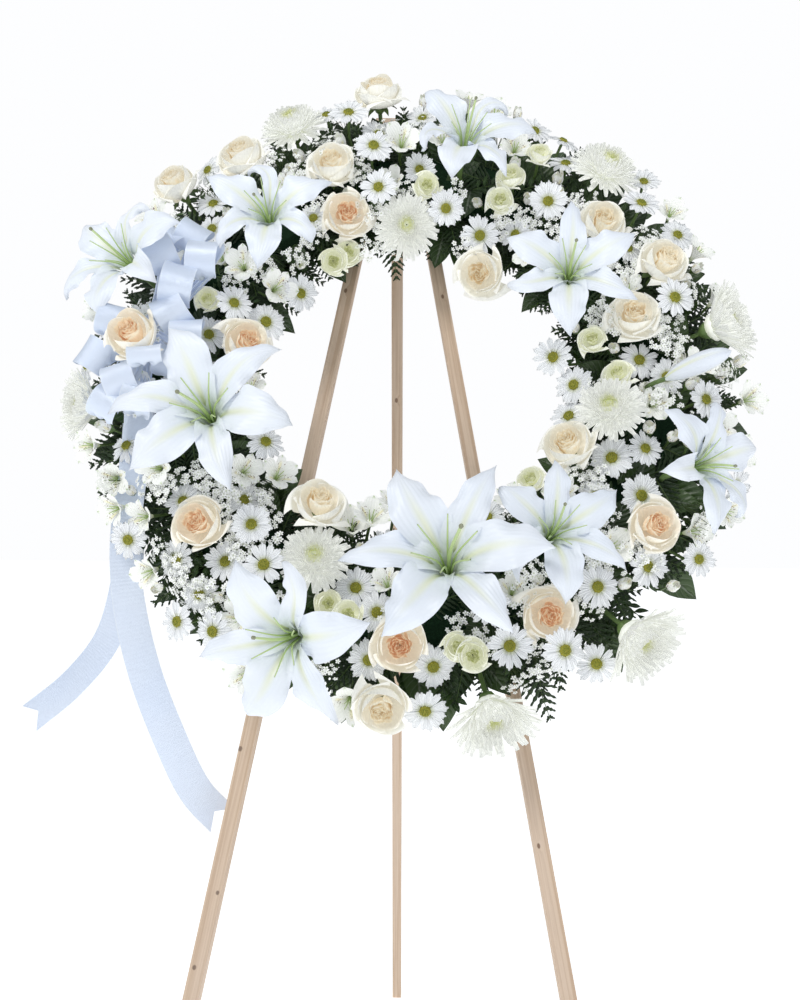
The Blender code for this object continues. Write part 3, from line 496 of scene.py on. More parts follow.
# %% Lily finishes
lily_finish = Finish("lily_petal", {"Roughness": 0.40, "Sheen Weight": 0.12, "Specular IOR Level": 0.4})
along, across, number = lily_finish.marks()
spread = abs(across)
rib = 1 - spread.step(0.0, 0.30)
throat = 1 - along.step(0.10, 0.42)
lily_white = lily_finish.mix(lily_finish.noise(14.0), (0.74, 0.80, 0.90), (0.84, 0.87, 0.92))
lily_base = lily_finish.mix(rib * (1 - along.step(0.35, 0.92)) * 0.62, lily_white, (0.80, 0.82, 0.50))
lily_base = lily_finish.mix(throat * (0.25 + rib * 0.75), lily_base, (0.50, 0.62, 0.20))
# Painted glow: the tepals give off a little of their own colour, lifting their shaded folds.
lily_finish.colour_with_painted_glow(lily_base, 0.05)
lily_veins = ((across * 30.0) + lily_finish.noise(20.0) * 3.0).sine()
lily_finish.bump(lily_veins * 0.25 - rib * 0.8 + lily_finish.noise(300.0, 3.0) * (0.2 + throat), 0.0004)

heart_finish = Finish("lily_filament", {"Roughness": 0.35})
along, across, number = heart_finish.marks()
heart_finish.feed("Base Color", heart_finish.mix(along, (0.36, 0.52, 0.14), (0.56, 0.68, 0.34)))
heart_finish.bump(heart_finish.noise(500.0), 0.0002)

stigma_finish = Finish("lily_stigma", {"Roughness": 0.45})
stigma_finish.feed("Base Color", stigma_finish.mix(stigma_finish.noise(400.0), (0.16, 0.17, 0.10),
                                                   (0.36, 0.38, 0.26)))
stigma_finish.bump(stigma_finish.noise(900.0), 0.0003)
print("lily finishes made")

# %% [markdown]
# The tepal itself: slopes in degrees along its length, from steep in the trumpet to rolled back at
# the tip. Adding up small steps along those slopes gives the middle line, as a stem grows.

# %% Tepal, filaments and pistil
lily_looks = [lily_finish, heart_finish, stigma_finish, stem_finish]
TEPAL, FILAMENT, STIGMA, LILY_STEM = range(4)


def tepal(growth, place, reach, angle, wide, curl, hook, twist, draw):
    rows, cols = 30, 13
    s = np.linspace(0, 1, rows)
    t = np.linspace(-1, 1, cols)[None, :]
    slope = np.radians(smooth_run((0, 0.14, 0.28, 0.42, 0.58, 0.72, 0.86, 1.0),
                                  (80, 72, 56, 36, 17, 2, -16 - 60 * curl, -34 - 200 * curl), s))
    step = 1.33 * reach / (rows - 1)
    heading = hook * np.clip((s - 0.45) / 0.55, 0, 1) ** 1.4
    run = np.stack([np.cos(slope) * np.cos(heading), np.cos(slope) * np.sin(heading), np.sin(slope)], 1) * step
    root = (0.05 * reach, 0, -0.42 * reach)
    line = np.concatenate([[root], root + np.cumsum(run[:-1], 0)])
    profile = (0.050, 0.070, 0.138, 0.222, 0.256, 0.222, 0.136, 0.056, 0.003)
    half = smooth_run((0, 0.12, 0.28, 0.44, 0.57, 0.71, 0.84, 0.94, 1), profile, s) * reach
    half = half * (1.0 if wide else np.interp(s, (0, 0.25, 0.6, 1), (1, 0.80, 0.68, 0.72)))
    half = half * np.interp(abs(hook), (0.9, 2.5), (1.0, 0.62))
    half = half[:, None]
    s = s[:, None]
    edge = np.abs(t)
    side_phase = np.where(t > 0, draw.uniform(0, 6), draw.uniform(0, 6))
    waves = np.sin(math.tau * 2.6 * s + side_phase) + 0.55 * np.sin(math.tau * 5.3 * s + 2 * side_phase)
    ruffle = 0.040 * reach * np.sin(np.pi * s) ** 0.8 * edge ** 2.6 * waves
    cup = smooth_run((0, 0.2, 0.45, 0.7, 1), (0.040, 0.060, 0.046, -0.050, -0.050), s) * reach * t * t
    groove = -0.018 * reach * np.exp(-(t / 0.15) ** 2) * np.sin(np.pi * np.clip(s, 0, 1)) ** 0.7
    lift = cup + groove + ruffle
    aside = t * half * (1 + 0.05 * waves * edge)
    turn = twist * s ** 1.5
    lateral = aside * np.cos(turn) - lift * np.sin(turn)
    rise = aside * np.sin(turn) + lift * np.cos(turn)
    slope = slope[:, None]
    heading = heading[:, None]
    back = rise * np.sin(slope)
    radial = line[:, :1] - back * np.cos(heading) - lateral * np.sin(heading)
    aside = line[:, 1:2] - back * np.sin(heading) + lateral * np.cos(heading)
    height = line[:, 2:] + rise * np.cos(slope)
    growth.grid(carried(place, swung(radial, aside, height, angle)), s, t, draw.random(), TEPAL)


def filaments(growth, place, reach, draw):
    """Six thin filaments without their anthers, and a longer pistil with its knob."""
    steps = np.linspace(0, 1, 9)
    for k in range(6):
        angle = math.tau * k / 6 + 0.35 + draw.uniform(-0.12, 0.12)
        length = draw.uniform(0.9, 1.08)
        out = smooth_run((0, 0.5, 1), (0.03, 0.10, 0.30 * length), steps) * reach
        up = smooth_run((0, 0.5, 1), (-0.34, 0.02, 0.34 * length), steps) * reach
        path = wrapped(out, angle, up)
        growth.tube(carried(place, path), np.linspace(0.013, 0.007, 9) * reach, 5, 0.5, FILAMENT)
    lean = draw.uniform(0, 6)
    out = smooth_run((0, 0.6, 1), (0.0, 0.05, 0.16), steps) * reach
    up = smooth_run((0, 0.6, 1), (-0.36, 0.15, 0.50), steps) * reach
    path = wrapped(out, lean, up)
    growth.tube(carried(place, path), np.linspace(0.022, 0.014, 9) * reach, 6, 0.5, FILAMENT)
    run = path[-1] - path[-2]
    run = run / np.linalg.norm(run)
    knob = np.array([path[-1] + run * reach * x for x in (-0.010, 0.004, 0.022, 0.034, 0.038)])
    growth.tube(carried(place, knob), np.array([0.016, 0.022, 0.022, 0.014, 0.001]) * reach, 6, 0.5, STIGMA)


def lily(growth, place, reach, draw, curls, hooks):
    for k in range(6):
        wide = k % 2 == 0
        hook = hooks.get(k, draw.uniform(-0.45, 0.45))
        angle = math.tau * k / 6 + draw.uniform(-0.08, 0.08)
        twist = draw.uniform(-0.3, 0.3)
        tepal(growth, place, reach * (1.0 if wide else 1.01), angle, wide, curls[k], hook, twist, draw)
    filaments(growth, place, reach, draw)
    stem_to_foam(growth, place, -0.40 * reach, 0.0032, LILY_STEM)
    growth.spindle(place, reach, (-0.50, -0.46, -0.42, -0.34), (0.033, 0.046, 0.060, 0.075), 10, 0.7, LILY_STEM)


print("lily shapes ready")

# %% [markdown]
# Each lily has its own place, lean and spin, read from the photograph. The last numbers say how far
# the tip of each tepal rolls back. A few tepals also hook sideways, some right round into a ring, and
# those are listed by number with their turn. One lily carries an unopened bud, a three-sided spindle.

# %% Nine lilies and a bud
LILIES = {
    "lily_upper_left": ((-0.334, 0.118, 0.128, -0.45, 0.12, 22, 0.088), (0.1, 0.7, 0.1, 0.2, 0.35, 0.1)),
    "lily_left_top": ((-0.168, 0.171, 0.140, 0.05, 0.05, 29, 0.082), (0.0, 0.75, 0.0, 0.3, 0.0, 0.8)),
    "lily_top": ((0.061, 0.274, 0.142, 0.10, 0.20, 10, 0.084), (0.1, 0.6, 0.2, 0.8, 0.1, 0.3)),
    "lily_right_top": ((0.176, 0.099, 0.136, -0.10, -0.05, 25, 0.084), (0.1, 0.1, 0.2, 0.5, 0.0, 0.1)),
    "lily_left": ((-0.220, -0.075, 0.142, 0.00, 0.00, -8, 0.104), (0.3, 0.0, 0.1, 0.0, 0.1, 0.2)),
    "lily_bottom_left": ((-0.122, -0.320, 0.134, -0.30, -0.35, 10, 0.096), (0.0, 0.3, 0.1, 0.1, 0.4, 0.0)),
    "lily_bottom": ((0.038, -0.237, 0.148, -0.08, 0.20, 3, 0.110), (0.1, 0.0, 0.0, 0.1, 0.2, 0.3)),
    "lily_right_bottom": ((0.152, -0.201, 0.122, 0.15, 0.10, 31, 0.082), (0.0, 0.2, 0.4, 0.0, 0.1, 0.1)),
    "lily_right": ((0.308, -0.131, 0.138, 0.60, -0.05, 22, 0.078), (0.1, 0.5, 0.0, 0.3, 0.1, 0.6)),
}
HOOKS = {
    "lily_upper_left": {1: -3.7, 3: 0.9},
    "lily_left_top": {1: 4.0, 5: -1.1, 3: 1.2},
    "lily_top": {1: -3.4, 3: 3.0},
    "lily_right_top": {3: -1.3},
    "lily_left": {1: -0.8, 3: 1.0},
    "lily_bottom_left": {1: 2.0, 4: -0.9},
    "lily_right_bottom": {3: 1.6},
    "lily_right": {5: -1.4},
}
BUD_PLACE = (0.312, -0.012, 0.124)
BUD_SIZE = 0.040


def lily_bud(growth, place, size):
    rows, cols = 22, 18
    s = np.linspace(0, 1, rows)[:, None]
    turn = np.linspace(0, math.tau, cols, endpoint=False)[None, :]
    girth = smooth_run((0, 0.12, 0.35, 0.62, 0.85, 0.96, 1), (0.07, 0.18, 0.27, 0.29, 0.20, 0.09, 0.01), s)
    radius = girth * (1 + 0.10 * np.cos(3 * turn) - 0.05 * np.abs(np.sin(1.5 * turn)) ** 6) * size
    height = (-0.90 + 1.90 * s) * size
    rib = np.cos(3 * turn) * 0.5 + 0.5
    growth.grid(carried(place, wrapped(radius, turn, height)), 0.25 + 0.6 * s, rib, 0.4, TEPAL, closed=True)
    stem_to_foam(growth, place, -0.85 * size, 0.0028, LILY_STEM)


for name, ((u, v, n, lean_u, lean_v, spin, reach), curls) in LILIES.items():
    draw = random.Random(name)
    growth = Growth()
    place = facing((u, v, n), (lean_u, lean_v, 1), math.radians(spin))
    lily(growth, place, reach, draw, curls, HOOKS.get(name, {}))
    if name == "lily_right":
        lily_bud(growth, facing(BUD_PLACE, (0.75, 0.15, 0.6)), BUD_SIZE)
    growth.make(name + "_bloom", lily_looks, [name])
    print(name, "points", growth.count)

# %% [markdown]
# ## Roses
#
# A garden rose is a spiral: each petal turns about 137 degrees from the last, one edge tucked under
# its neighbour, one edge over it. The heart is a tight crimped swirl less than half as wide as the
# bloom. Nine broad guard petals cup round it and roll their rims back. Only the heart is peach.

# %% Rose finishes
def rose_finish(name, deep_heart_and_shade, heart, middle, outer, glow=0.12):
    made = Finish(name, {"Roughness": 0.50, "Specular IOR Level": 0.30})
    along, across, number = made.marks()
    base = made.mix(number.step(0.10, 0.46), heart, middle)
    base = made.mix(number.step(0.40, 0.60), base, outer)
    base = made.mix((1 - along.step(0.15, 0.75)) * 0.35, base, middle)
    # Deeper tone over the lower heart petals, fading out at their rims: partly the heart's own colour, partly
    # painted shade down in its folds.
    base = made.mix((1 - along.step(0.70, 0.98)) * (1 - number.step(0.26, 0.50)) * 0.80, base, deep_heart_and_shade)
    base = made.mix(made.noise(60.0) * 0.10, base, (0.98, 0.95, 0.88))
    # Painted glow: the petals give off a little of their own colour, lifting the shade between their layers.
    made.colour_with_painted_glow(base, glow)
    veins = ((across * 26.0 + made.noise(45.0) * 4.0)).sine()
    made.bump(veins * 0.35 + made.noise(220.0, 3.0) * 0.6, 0.0004)
    return made


rose_look = rose_finish("rose_petal", (0.84, 0.50, 0.27), (0.93, 0.79, 0.60), (0.92, 0.85, 0.70),
                        (0.92, 0.89, 0.81))
pale_rose_look = rose_finish("pale_rose_petal", (0.84, 0.68, 0.42), (0.93, 0.87, 0.72), (0.92, 0.88, 0.77),
                             (0.92, 0.91, 0.85))
spray_rose_look = rose_finish("spray_rose_petal", (0.66, 0.70, 0.32), (0.90, 0.91, 0.68), (0.91, 0.92, 0.76),
                              (0.92, 0.93, 0.82))
print("rose finishes made")

# %% [markdown]
# Each petal is a grid wrapped round the bloom's axis. Its foot and its rim have their own distance
# from that axis, and past the flare the rim rolls outward. Heart and guard petals use one formula with
# other numbers, and the mark q says how far out a petal sits, which the finish reads.

# %% Rose
rose_looks = [rose_look, pale_rose_look, stem_finish]
WARM, PALE, ROSE_STEM = range(3)
GOLDEN_ANGLE = 2.39996
ROSE_PETALS = 27
SPRAY_ROSE_PETALS = 20
GUARD_PETALS = 9
FLARE_START = 0.62


def rose(growth, place, size, petals, look, green, draw):
    s, t = lattice(15, 13)
    flare = (np.clip(s - FLARE_START, 0, 1) / (1 - FLARE_START)) ** 2
    start = draw.uniform(0, 6)
    heart = petals - GUARD_PETALS
    gape = draw.uniform(0.85, 1.15)
    for k in range(petals):
        guard = k >= heart
        outer = (k - heart) / (GUARD_PETALS - 1) if guard else 0.0
        inner = min(1.0, k / heart)
        q = 0.42 * inner if not guard else 0.55 + 0.45 * outer
        rim = 0.50 + 0.36 * outer ** 0.9 if guard else 0.05 + 0.36 * inner ** 0.85
        rim_height = 0.74 - 0.46 * outer ** 1.5 if guard else 0.70 - 0.12 * inner ** 2
        rim_height += draw.uniform(-0.03, 0.03)
        half = math.radians((62 - 8 * outer if guard else 120 - 60 * inner) * draw.uniform(0.92, 1.08))
        base = 0.10 + 0.16 * outer if guard else 0.03 + 0.06 * inner
        edge = 1 - (0.20 + 0.06 * outer if guard else 0.10) * np.abs(t) ** 2.6
        edge = edge + (0.05 * outer * np.exp(-(t / 0.16) ** 2) if guard else 0.0)
        crimp = (0.036 if guard else 0.050) * np.sin((3.4 if guard else 6.5) * t + draw.uniform(0, 6)) * s ** 4
        roll = (0.13 + 0.17 * outer) * (0.45 + 0.55 * t * t) * draw.uniform(0.7, 1.3) * gape if guard else 0.01
        belly = (0.20 - 0.06 * outer) * np.sin(np.pi * s ** 0.8) if guard else 0.02 * np.sin(np.pi * s)
        radius = base + (rim - base) * np.sin(np.pi / 2 * s ** 0.7) + belly + roll * flare + crimp
        radius = radius * (1 + (0.07 if guard else 0.13) * t)
        floor_height = -0.36 + (0.0 if guard else 0.30 * (1 - inner))
        height = floor_height + (rim_height - floor_height) * s * edge - 1.0 * roll * flare ** 1.4 + 0.6 * crimp
        angle = start + k * GOLDEN_ANGLE + half * t + 0.10 * s
        growth.grid(carried(place, wrapped(radius, angle, height) * size), s, t, q, look)
    for k in range(5):
        sepal(growth, place, size, math.tau * k / 5 + draw.uniform(-0.2, 0.2), green, draw)
    growth.spindle(place, size, (-0.66, -0.58, -0.46, -0.36, -0.30), (0.09, 0.17, 0.22, 0.20, 0.10),
                   10, 0.7, green)
    stem_to_foam(growth, place, -0.60 * size, 0.0028 * min(1, size / 0.024), green)


def sepal(growth, place, size, angle, look, draw):
    """Narrow green leaf that turns down under the rose."""
    s, t = lattice(7, 3)
    radius = 0.18 + 0.55 * s * draw.uniform(0.8, 1.1)
    height = -0.42 + 0.16 * s - 0.34 * s ** 2 + 0.05 * np.abs(t)
    half = 0.13 * np.sin(np.pi * np.clip(0.12 + 0.86 * s, 0, 1))
    growth.grid(carried(place, swung(radius, half * t, height, angle) * size), s, t, 0.6, look)


ROSES = {
    "roses_upper_left": ((-0.292, 0.242, 0.088, 0), (-0.213, 0.278, 0.094, 0)),
    "roses_top": ((-0.101, 0.266, 0.096, 0), (-0.082, 0.202, 0.090, 1), (-0.047, 0.376, 0.090, 0)),
    "roses_right_top": ((0.224, 0.185, 0.096, 0), (0.290, 0.129, 0.100, 0), (0.253, 0.060, 0.100, 0)),
    "rose_inner_right": ((0.176, -0.096, 0.090, 0),),
    "rose_lower_right": ((0.258, -0.188, 0.100, 1),),
    "rose_bottom_right": ((0.144, -0.284, 0.096, 1),),
    "roses_bottom": ((-0.009, -0.318, 0.102, 1), (-0.026, -0.378, 0.088, 0)),
    "roses_lower_left": ((-0.226, -0.192, 0.102, 1), (-0.101, -0.167, 0.090, 0)),
    "rose_in_bow": ((-0.305, 0.010, 0.144, 1),),
    "rose_inner_left": ((-0.193, 0.024, 0.098, 1),),
    "rose_inner_top": ((0.082, 0.132, 0.076, 0),),
}
ROSE_RADIUS = 0.031
for name, places in ROSES.items():
    growth = Growth()
    draw = random.Random(name)
    for u, v, n, warm in places:
        place = facing((u, v, n), cover_direction(u, v), draw.uniform(0, 6))
        size = ROSE_RADIUS * draw.uniform(0.98, 1.04)
        rose(growth, place, size, ROSE_PETALS, WARM if warm else PALE, ROSE_STEM, draw)
    growth.make(name + "_bloom", rose_looks, [name])
    print(name, "roses", len(places))

# %% [markdown]
# ## Cushion mums
#
# A mum has well over two hundred narrow florets set in a spiral, like seeds on a sunflower. Near the
# middle they are short, greenish and curl inward. Further out they grow longer, whiter and flatter,
# and the lowest ones droop. Each is a little channel, so it catches light along its sides. Four at
# the outer edge hang outward with long strap florets, like shuttlecocks.

# %% Mum finish and shape
mum_finish = Finish("mum_petal", {"Roughness": 0.50, "Sheen Weight": 0.15})
along, across, number = mum_finish.marks()
mum_green = mum_finish.mix(along.step(0.2, 1.0), (0.58, 0.66, 0.20), (0.88, 0.90, 0.58))
mum_white = mum_finish.mix(along.step(0.0, 0.5), (0.80, 0.83, 0.66), (0.93, 0.94, 0.90))
# Painted glow: the florets give off a little of their own colour, lifting the shade between them.
mum_finish.colour_with_painted_glow(mum_finish.mix(number.step(0.02, 0.30), mum_green, mum_white), 0.17)
mum_finish.bump((across * 9.0).sine() + mum_finish.noise(300.0), 0.0003)


MUM_FLORETS = 240
FLORET, MUM_STEM = range(2)


def mum(growth, place, size, draw, strap):
    s = np.linspace(0, 1, 8)[:, None]
    t = np.array([-1.0, -0.45, 0.45, 1.0])[None, :]
    growth.spindle(place, size, (-0.16, 0.0, 0.16, 0.28, 0.34), (0.20, 0.40, 0.36, 0.20, 0.02), 12, 0.4, FLORET)
    for k in range(MUM_FLORETS):
        q = (k + 0.5) / MUM_FLORETS
        angle = k * GOLDEN_ANGLE + draw.uniform(-0.10, 0.10)
        lift = math.radians(88 - 96 * q ** 1.1 + draw.uniform(-5, 5))
        lift = lift + 0.75 * strap * q
        length = (0.38 + (0.46 + 0.40 * strap) * q ** 0.8) * draw.uniform(0.92, 1.06)
        hook = float(np.interp(q, (0, 0.35, 0.75, 1), (1.5, 1.25, 0.55, -0.35))) + draw.uniform(-0.15, 0.15)
        slope = lift + hook * (s[:, 0] - 0.45)
        root = (0.05 + 0.17 * q, 0.18 * (1 - q) - 0.05)
        outline = np.sin(np.pi * np.clip(0.16 + 0.74 * s, 0, 1)) ** 0.5
        half = (0.080 + 0.016 * strap) * outline * (0.70 + 0.34 * q)
        lateral = half * t + draw.uniform(-0.05, 0.05) * s ** 2
        radial, height = arched(slope, length / (len(s) - 1), root, 0.030 * t * t)
        growth.grid(carried(place, swung(radial, lateral, height, angle) * size), s, t, q, FLORET)
    growth.spindle(place, size, (-0.42, -0.30, -0.16, -0.06), (0.07, 0.20, 0.26, 0.20), 10, 0.6, MUM_STEM)
    stem_to_foam(growth, place, -0.40 * size, 0.0026, MUM_STEM)


MUMS = {
    "mum_top": (-0.154, 0.330, 0.086, 0.038),
    "mum_inner_top": (-0.009, 0.190, 0.086, 0.034),
    "mum_right_top": (0.232, 0.264, 0.092, 0.038),
    "mum_right": (0.345, 0.051, 0.092, 0.036),
    "mum_inner_right": (0.221, -0.054, 0.100, 0.034),
    "mum_bottom_right": (0.232, -0.300, 0.086, 0.036),
    "mum_bottom": (0.084, -0.376, 0.080, 0.036),
    "mum_inner_left": (-0.102, -0.227, 0.092, 0.034),
    "mum_left": (-0.368, -0.043, 0.070, 0.032),
}
MUM_SPREAD = 1.14
HANGING = ("mum_bottom_right", "mum_bottom", "mum_left", "mum_right")
for name, (u, v, n, radius) in MUMS.items():
    draw = random.Random(name)
    growth = Growth()
    strap = 1.0 if name in HANGING else 0.0
    aim = cover_direction(u, v) + strap * 0.65 * Vector((u, v, 0)).normalized()
    mum(growth, facing((u, v, n), aim, draw.uniform(0, 6)), radius * MUM_SPREAD, draw, strap)
    growth.make(name + "_bloom", [mum_finish, stem_finish], [name])
    print(name, "points", growth.count)

# %% [markdown]
# ## Small blooms
#
# Daisies, alstroemeria and spray roses fill the spaces, several on each branching stem. A daisy is a
# ring of grooved petals, every second one raised, round a button of tiny florets. An alstroemeria is
# a funnel of six petals: the outer three broad with a green fleck at the tip, the inner three narrow,
# with a yellow blush and dark dashes. Its dashes are noise, cut off where the petal's marks say so.

# %% Finishes of the small blooms
daisy_finish = Finish("daisy_petal", {"Roughness": 0.50, "Sheen Weight": 0.10})
along, across, number = daisy_finish.marks()
daisy_base = daisy_finish.mix(along.step(0.0, 0.35), (0.76, 0.80, 0.58), (0.90, 0.92, 0.94))
# Painted glow: the petals give off a little of their own colour, lifting their shaded sides.
daisy_finish.colour_with_painted_glow(daisy_base, 0.10)
daisy_finish.bump((across * 9.4).sine() * 0.8 + daisy_finish.noise(260.0) * 0.3, 0.0004)

eye_finish = Finish("daisy_eye", {"Roughness": 0.62})
along, across, number = eye_finish.marks()
eye_base = eye_finish.mix(number.step(0.25, 0.80), (0.10, 0.17, 0.012), (0.30, 0.27, 0.012))
eye_finish.feed("Base Color", eye_finish.mix(along * 0.35, eye_base, (0.52, 0.46, 0.07)))
eye_finish.bump(eye_finish.noise(900.0), 0.0003)

alstro_finish = Finish("alstroemeria_petal", {"Roughness": 0.42, "Sheen Weight": 0.10})
along, across, number = alstro_finish.marks()
alstro_rib = 1 - abs(across).step(0.05, 0.5)
alstro_base = alstro_finish.mix((1 - along.step(0.0, 0.35)) * 0.8, (0.90, 0.91, 0.88), (0.62, 0.70, 0.36))
alstro_base = alstro_finish.mix(along.step(0.86, 0.99) * alstro_rib * 0.8, alstro_base, (0.34, 0.48, 0.16))
alstro_blush = number.step(0.45, 0.55) * along.step(0.25, 0.45) * (1 - along.step(0.62, 0.85))
alstro_base = alstro_finish.mix(alstro_blush * alstro_rib * 0.5, alstro_base, (0.88, 0.80, 0.34))
alstro_dash = alstro_finish.noise(620.0, 1.0).step(0.60, 0.64) * alstro_blush
# Painted glow: the petals give off a little of their own colour, lifting their shaded sides.
alstro_finish.colour_with_painted_glow(alstro_finish.mix(alstro_dash * 0.85, alstro_base, (0.16, 0.05, 0.05)), 0.12)
alstro_finish.bump((across * 20.0).sine() * 0.4 + alstro_finish.noise(260.0) * 0.4, 0.0003)
print("small finishes made")

# %% [markdown]
# Each small bloom is a short function of its place and size, so that one table can name them. The
# petals' outlines are smooth runs through a few half widths, and every petal droops or lifts a bit on
# its own.

# %% Daisy, alstroemeria and bud
small_looks = [daisy_finish, eye_finish, alstro_finish, heart_finish, spray_rose_look, stem_finish]
DAISY, EYE, ALSTRO, STAMEN, SPRAY_ROSE, SMALL_STEM = range(6)
BEADS = 32


def daisy(growth, place, size, draw):
    petals = draw.choice((13, 14, 15, 16, 17))
    s, t = lattice(8, 5)
    dish = draw.uniform(-0.10, 0.26)
    for k in range(petals):
        angle = math.tau * k / petals + draw.uniform(-0.08, 0.08)
        length = draw.uniform(0.90, 1.05)
        radius = 0.20 + (length - 0.20) * s
        half = smooth_run((0, 0.25, 0.6, 0.85, 1), (0.050, 0.105, 0.150, 0.132, 0.060), s)
        tip = 1 - 0.10 * t * t * (s > 0.95)
        groove = 0.035 * np.cos(np.pi * 1.5 * t)
        height = 0.03 * (k % 2) + dish * s - draw.uniform(0.0, 0.22) * s ** 2.5 + groove
        lateral = half * t + draw.uniform(-0.05, 0.05) * s ** 2
        points = swung(radius * tip, lateral, height, angle) * size
        growth.grid(carried(place, points), s, t, draw.random(), DAISY)
    eye(growth, place, size)
    growth.spindle(place, size, (-0.26, -0.18, -0.06, 0.02), (0.06, 0.20, 0.25, 0.16), 8, 0.6, SMALL_STEM)
    stem_to_foam(growth, place, -0.24 * size, 0.0018, SMALL_STEM)


def eye(growth, place, size):
    """Button of tiny florets in a spiral, with a dimple in the middle."""
    ring = np.linspace(0, math.tau, 5, endpoint=False)
    bead_rings = ((1.0, 0.0), (0.85, 0.032), (0.15, 0.055))
    bead = np.array([wrapped(0.031 * share, ring, rise) for share, rise in bead_rings])
    for k in range(BEADS):
        q = (k + 0.5) / BEADS
        height = 0.13 - 0.11 * q ** 2 - 0.04 * math.exp(-q * 14)
        middle = wrapped(0.25 * math.sqrt(q), k * GOLDEN_ANGLE, height)
        growth.grid(carried(place, (middle + bead) * size), lattice(3, 1)[0], 0.0, q, EYE, closed=True)
    growth.spindle(place, size, (-0.02, 0.08, 0.12, 0.14), (0.26, 0.24, 0.18, 0.01), 14, 0.6, EYE)


def alstroemeria(growth, place, size, draw):
    s, t = lattice(10, 7)
    for k in range(6):
        inner = k % 2
        angle = math.tau * k / 6 + draw.uniform(-0.08, 0.08)
        reach = draw.uniform(0.92, 1.05) * (0.95 if inner else 1.0)
        slope = np.radians(smooth_run((0, 0.4, 0.75, 1), (72, 55, 34, draw.uniform(-10, 22)), s[:, 0]))
        keys = (0.07, 0.10, 0.20, 0.25, 0.18, 0.02) if inner else (0.08, 0.13, 0.34, 0.44, 0.30, 0.03)
        half = smooth_run((0, 0.2, 0.5, 0.75, 0.92, 1), keys, s)
        rise = (0.10 * t * t + 0.02 * np.sin(7 * s + 5 * t)) * np.sin(np.pi * np.clip(s, 0.1, 1))
        radial, height = arched(slope, 1.55 * reach / (len(s) - 1), (0.08, -0.58), rise)
        growth.grid(carried(place, swung(radial, half * t, height, angle) * size), s, t, float(inner), ALSTRO)
    for k in range(5):
        path = wrapped(np.array([0.03, 0.10, 0.22]), math.tau * k / 5, np.array([-0.5, 0.0, 0.42])) * size
        growth.tube(carried(place, path), 0.0005, 4, 0.5, STAMEN)
    stem_to_foam(growth, place, -0.56 * size, 0.0018, SMALL_STEM)


def small_bud(growth, place, size, draw):
    """Half-open bud of four wrapped petals."""
    s, t = lattice(9, 7)
    for k in range(4):
        angle = math.tau * k / 4 + 0.8 * t + 0.5 * s
        radius = smooth_run((0, 0.3, 0.65, 1), (0.14, 0.52, 0.60, 0.22 + 0.10 * k), s) * (1 + 0.08 * t)
        height = -0.7 + 1.9 * s * (1 - 0.10 * t * t)
        growth.grid(carried(place, wrapped(radius, angle, height) * size), s, t, 0.5 + 0.1 * k, ALSTRO)
    growth.spindle(place, size, (-1.1, -0.8, -0.5, -0.2), (0.10, 0.26, 0.50, 0.56), 8, 0.8, SMALL_STEM)
    stem_to_foam(growth, place, -1.0 * size, 0.0014, SMALL_STEM)


def spray_rose(growth, place, size, draw):
    rose(growth, place, size, SPRAY_ROSE_PETALS, SPRAY_ROSE, SMALL_STEM, draw)


SMALL_HEADS = {"daisy": daisy, "alstroemeria": alstroemeria, "bud": small_bud, "spray_rose": spray_rose}


def small_head(growth, kind, u, v, n, sway, size, spread, draw):
    """One small head, turned a little off the cover's own direction."""
    wander = Vector((draw.uniform(-sway, sway), draw.uniform(-sway, sway), 0))
    place = facing((u, v, n), cover_direction(u, v) + wander, draw.uniform(0, 6))
    SMALL_HEADS[kind](growth, place, size * draw.uniform(*spread), draw)


print("small bloom shapes ready")

# %% [markdown]
# The sprays follow the model's forked stems. Each row names a bloom and its place in the wreath's
# frame: to the right, up and out.

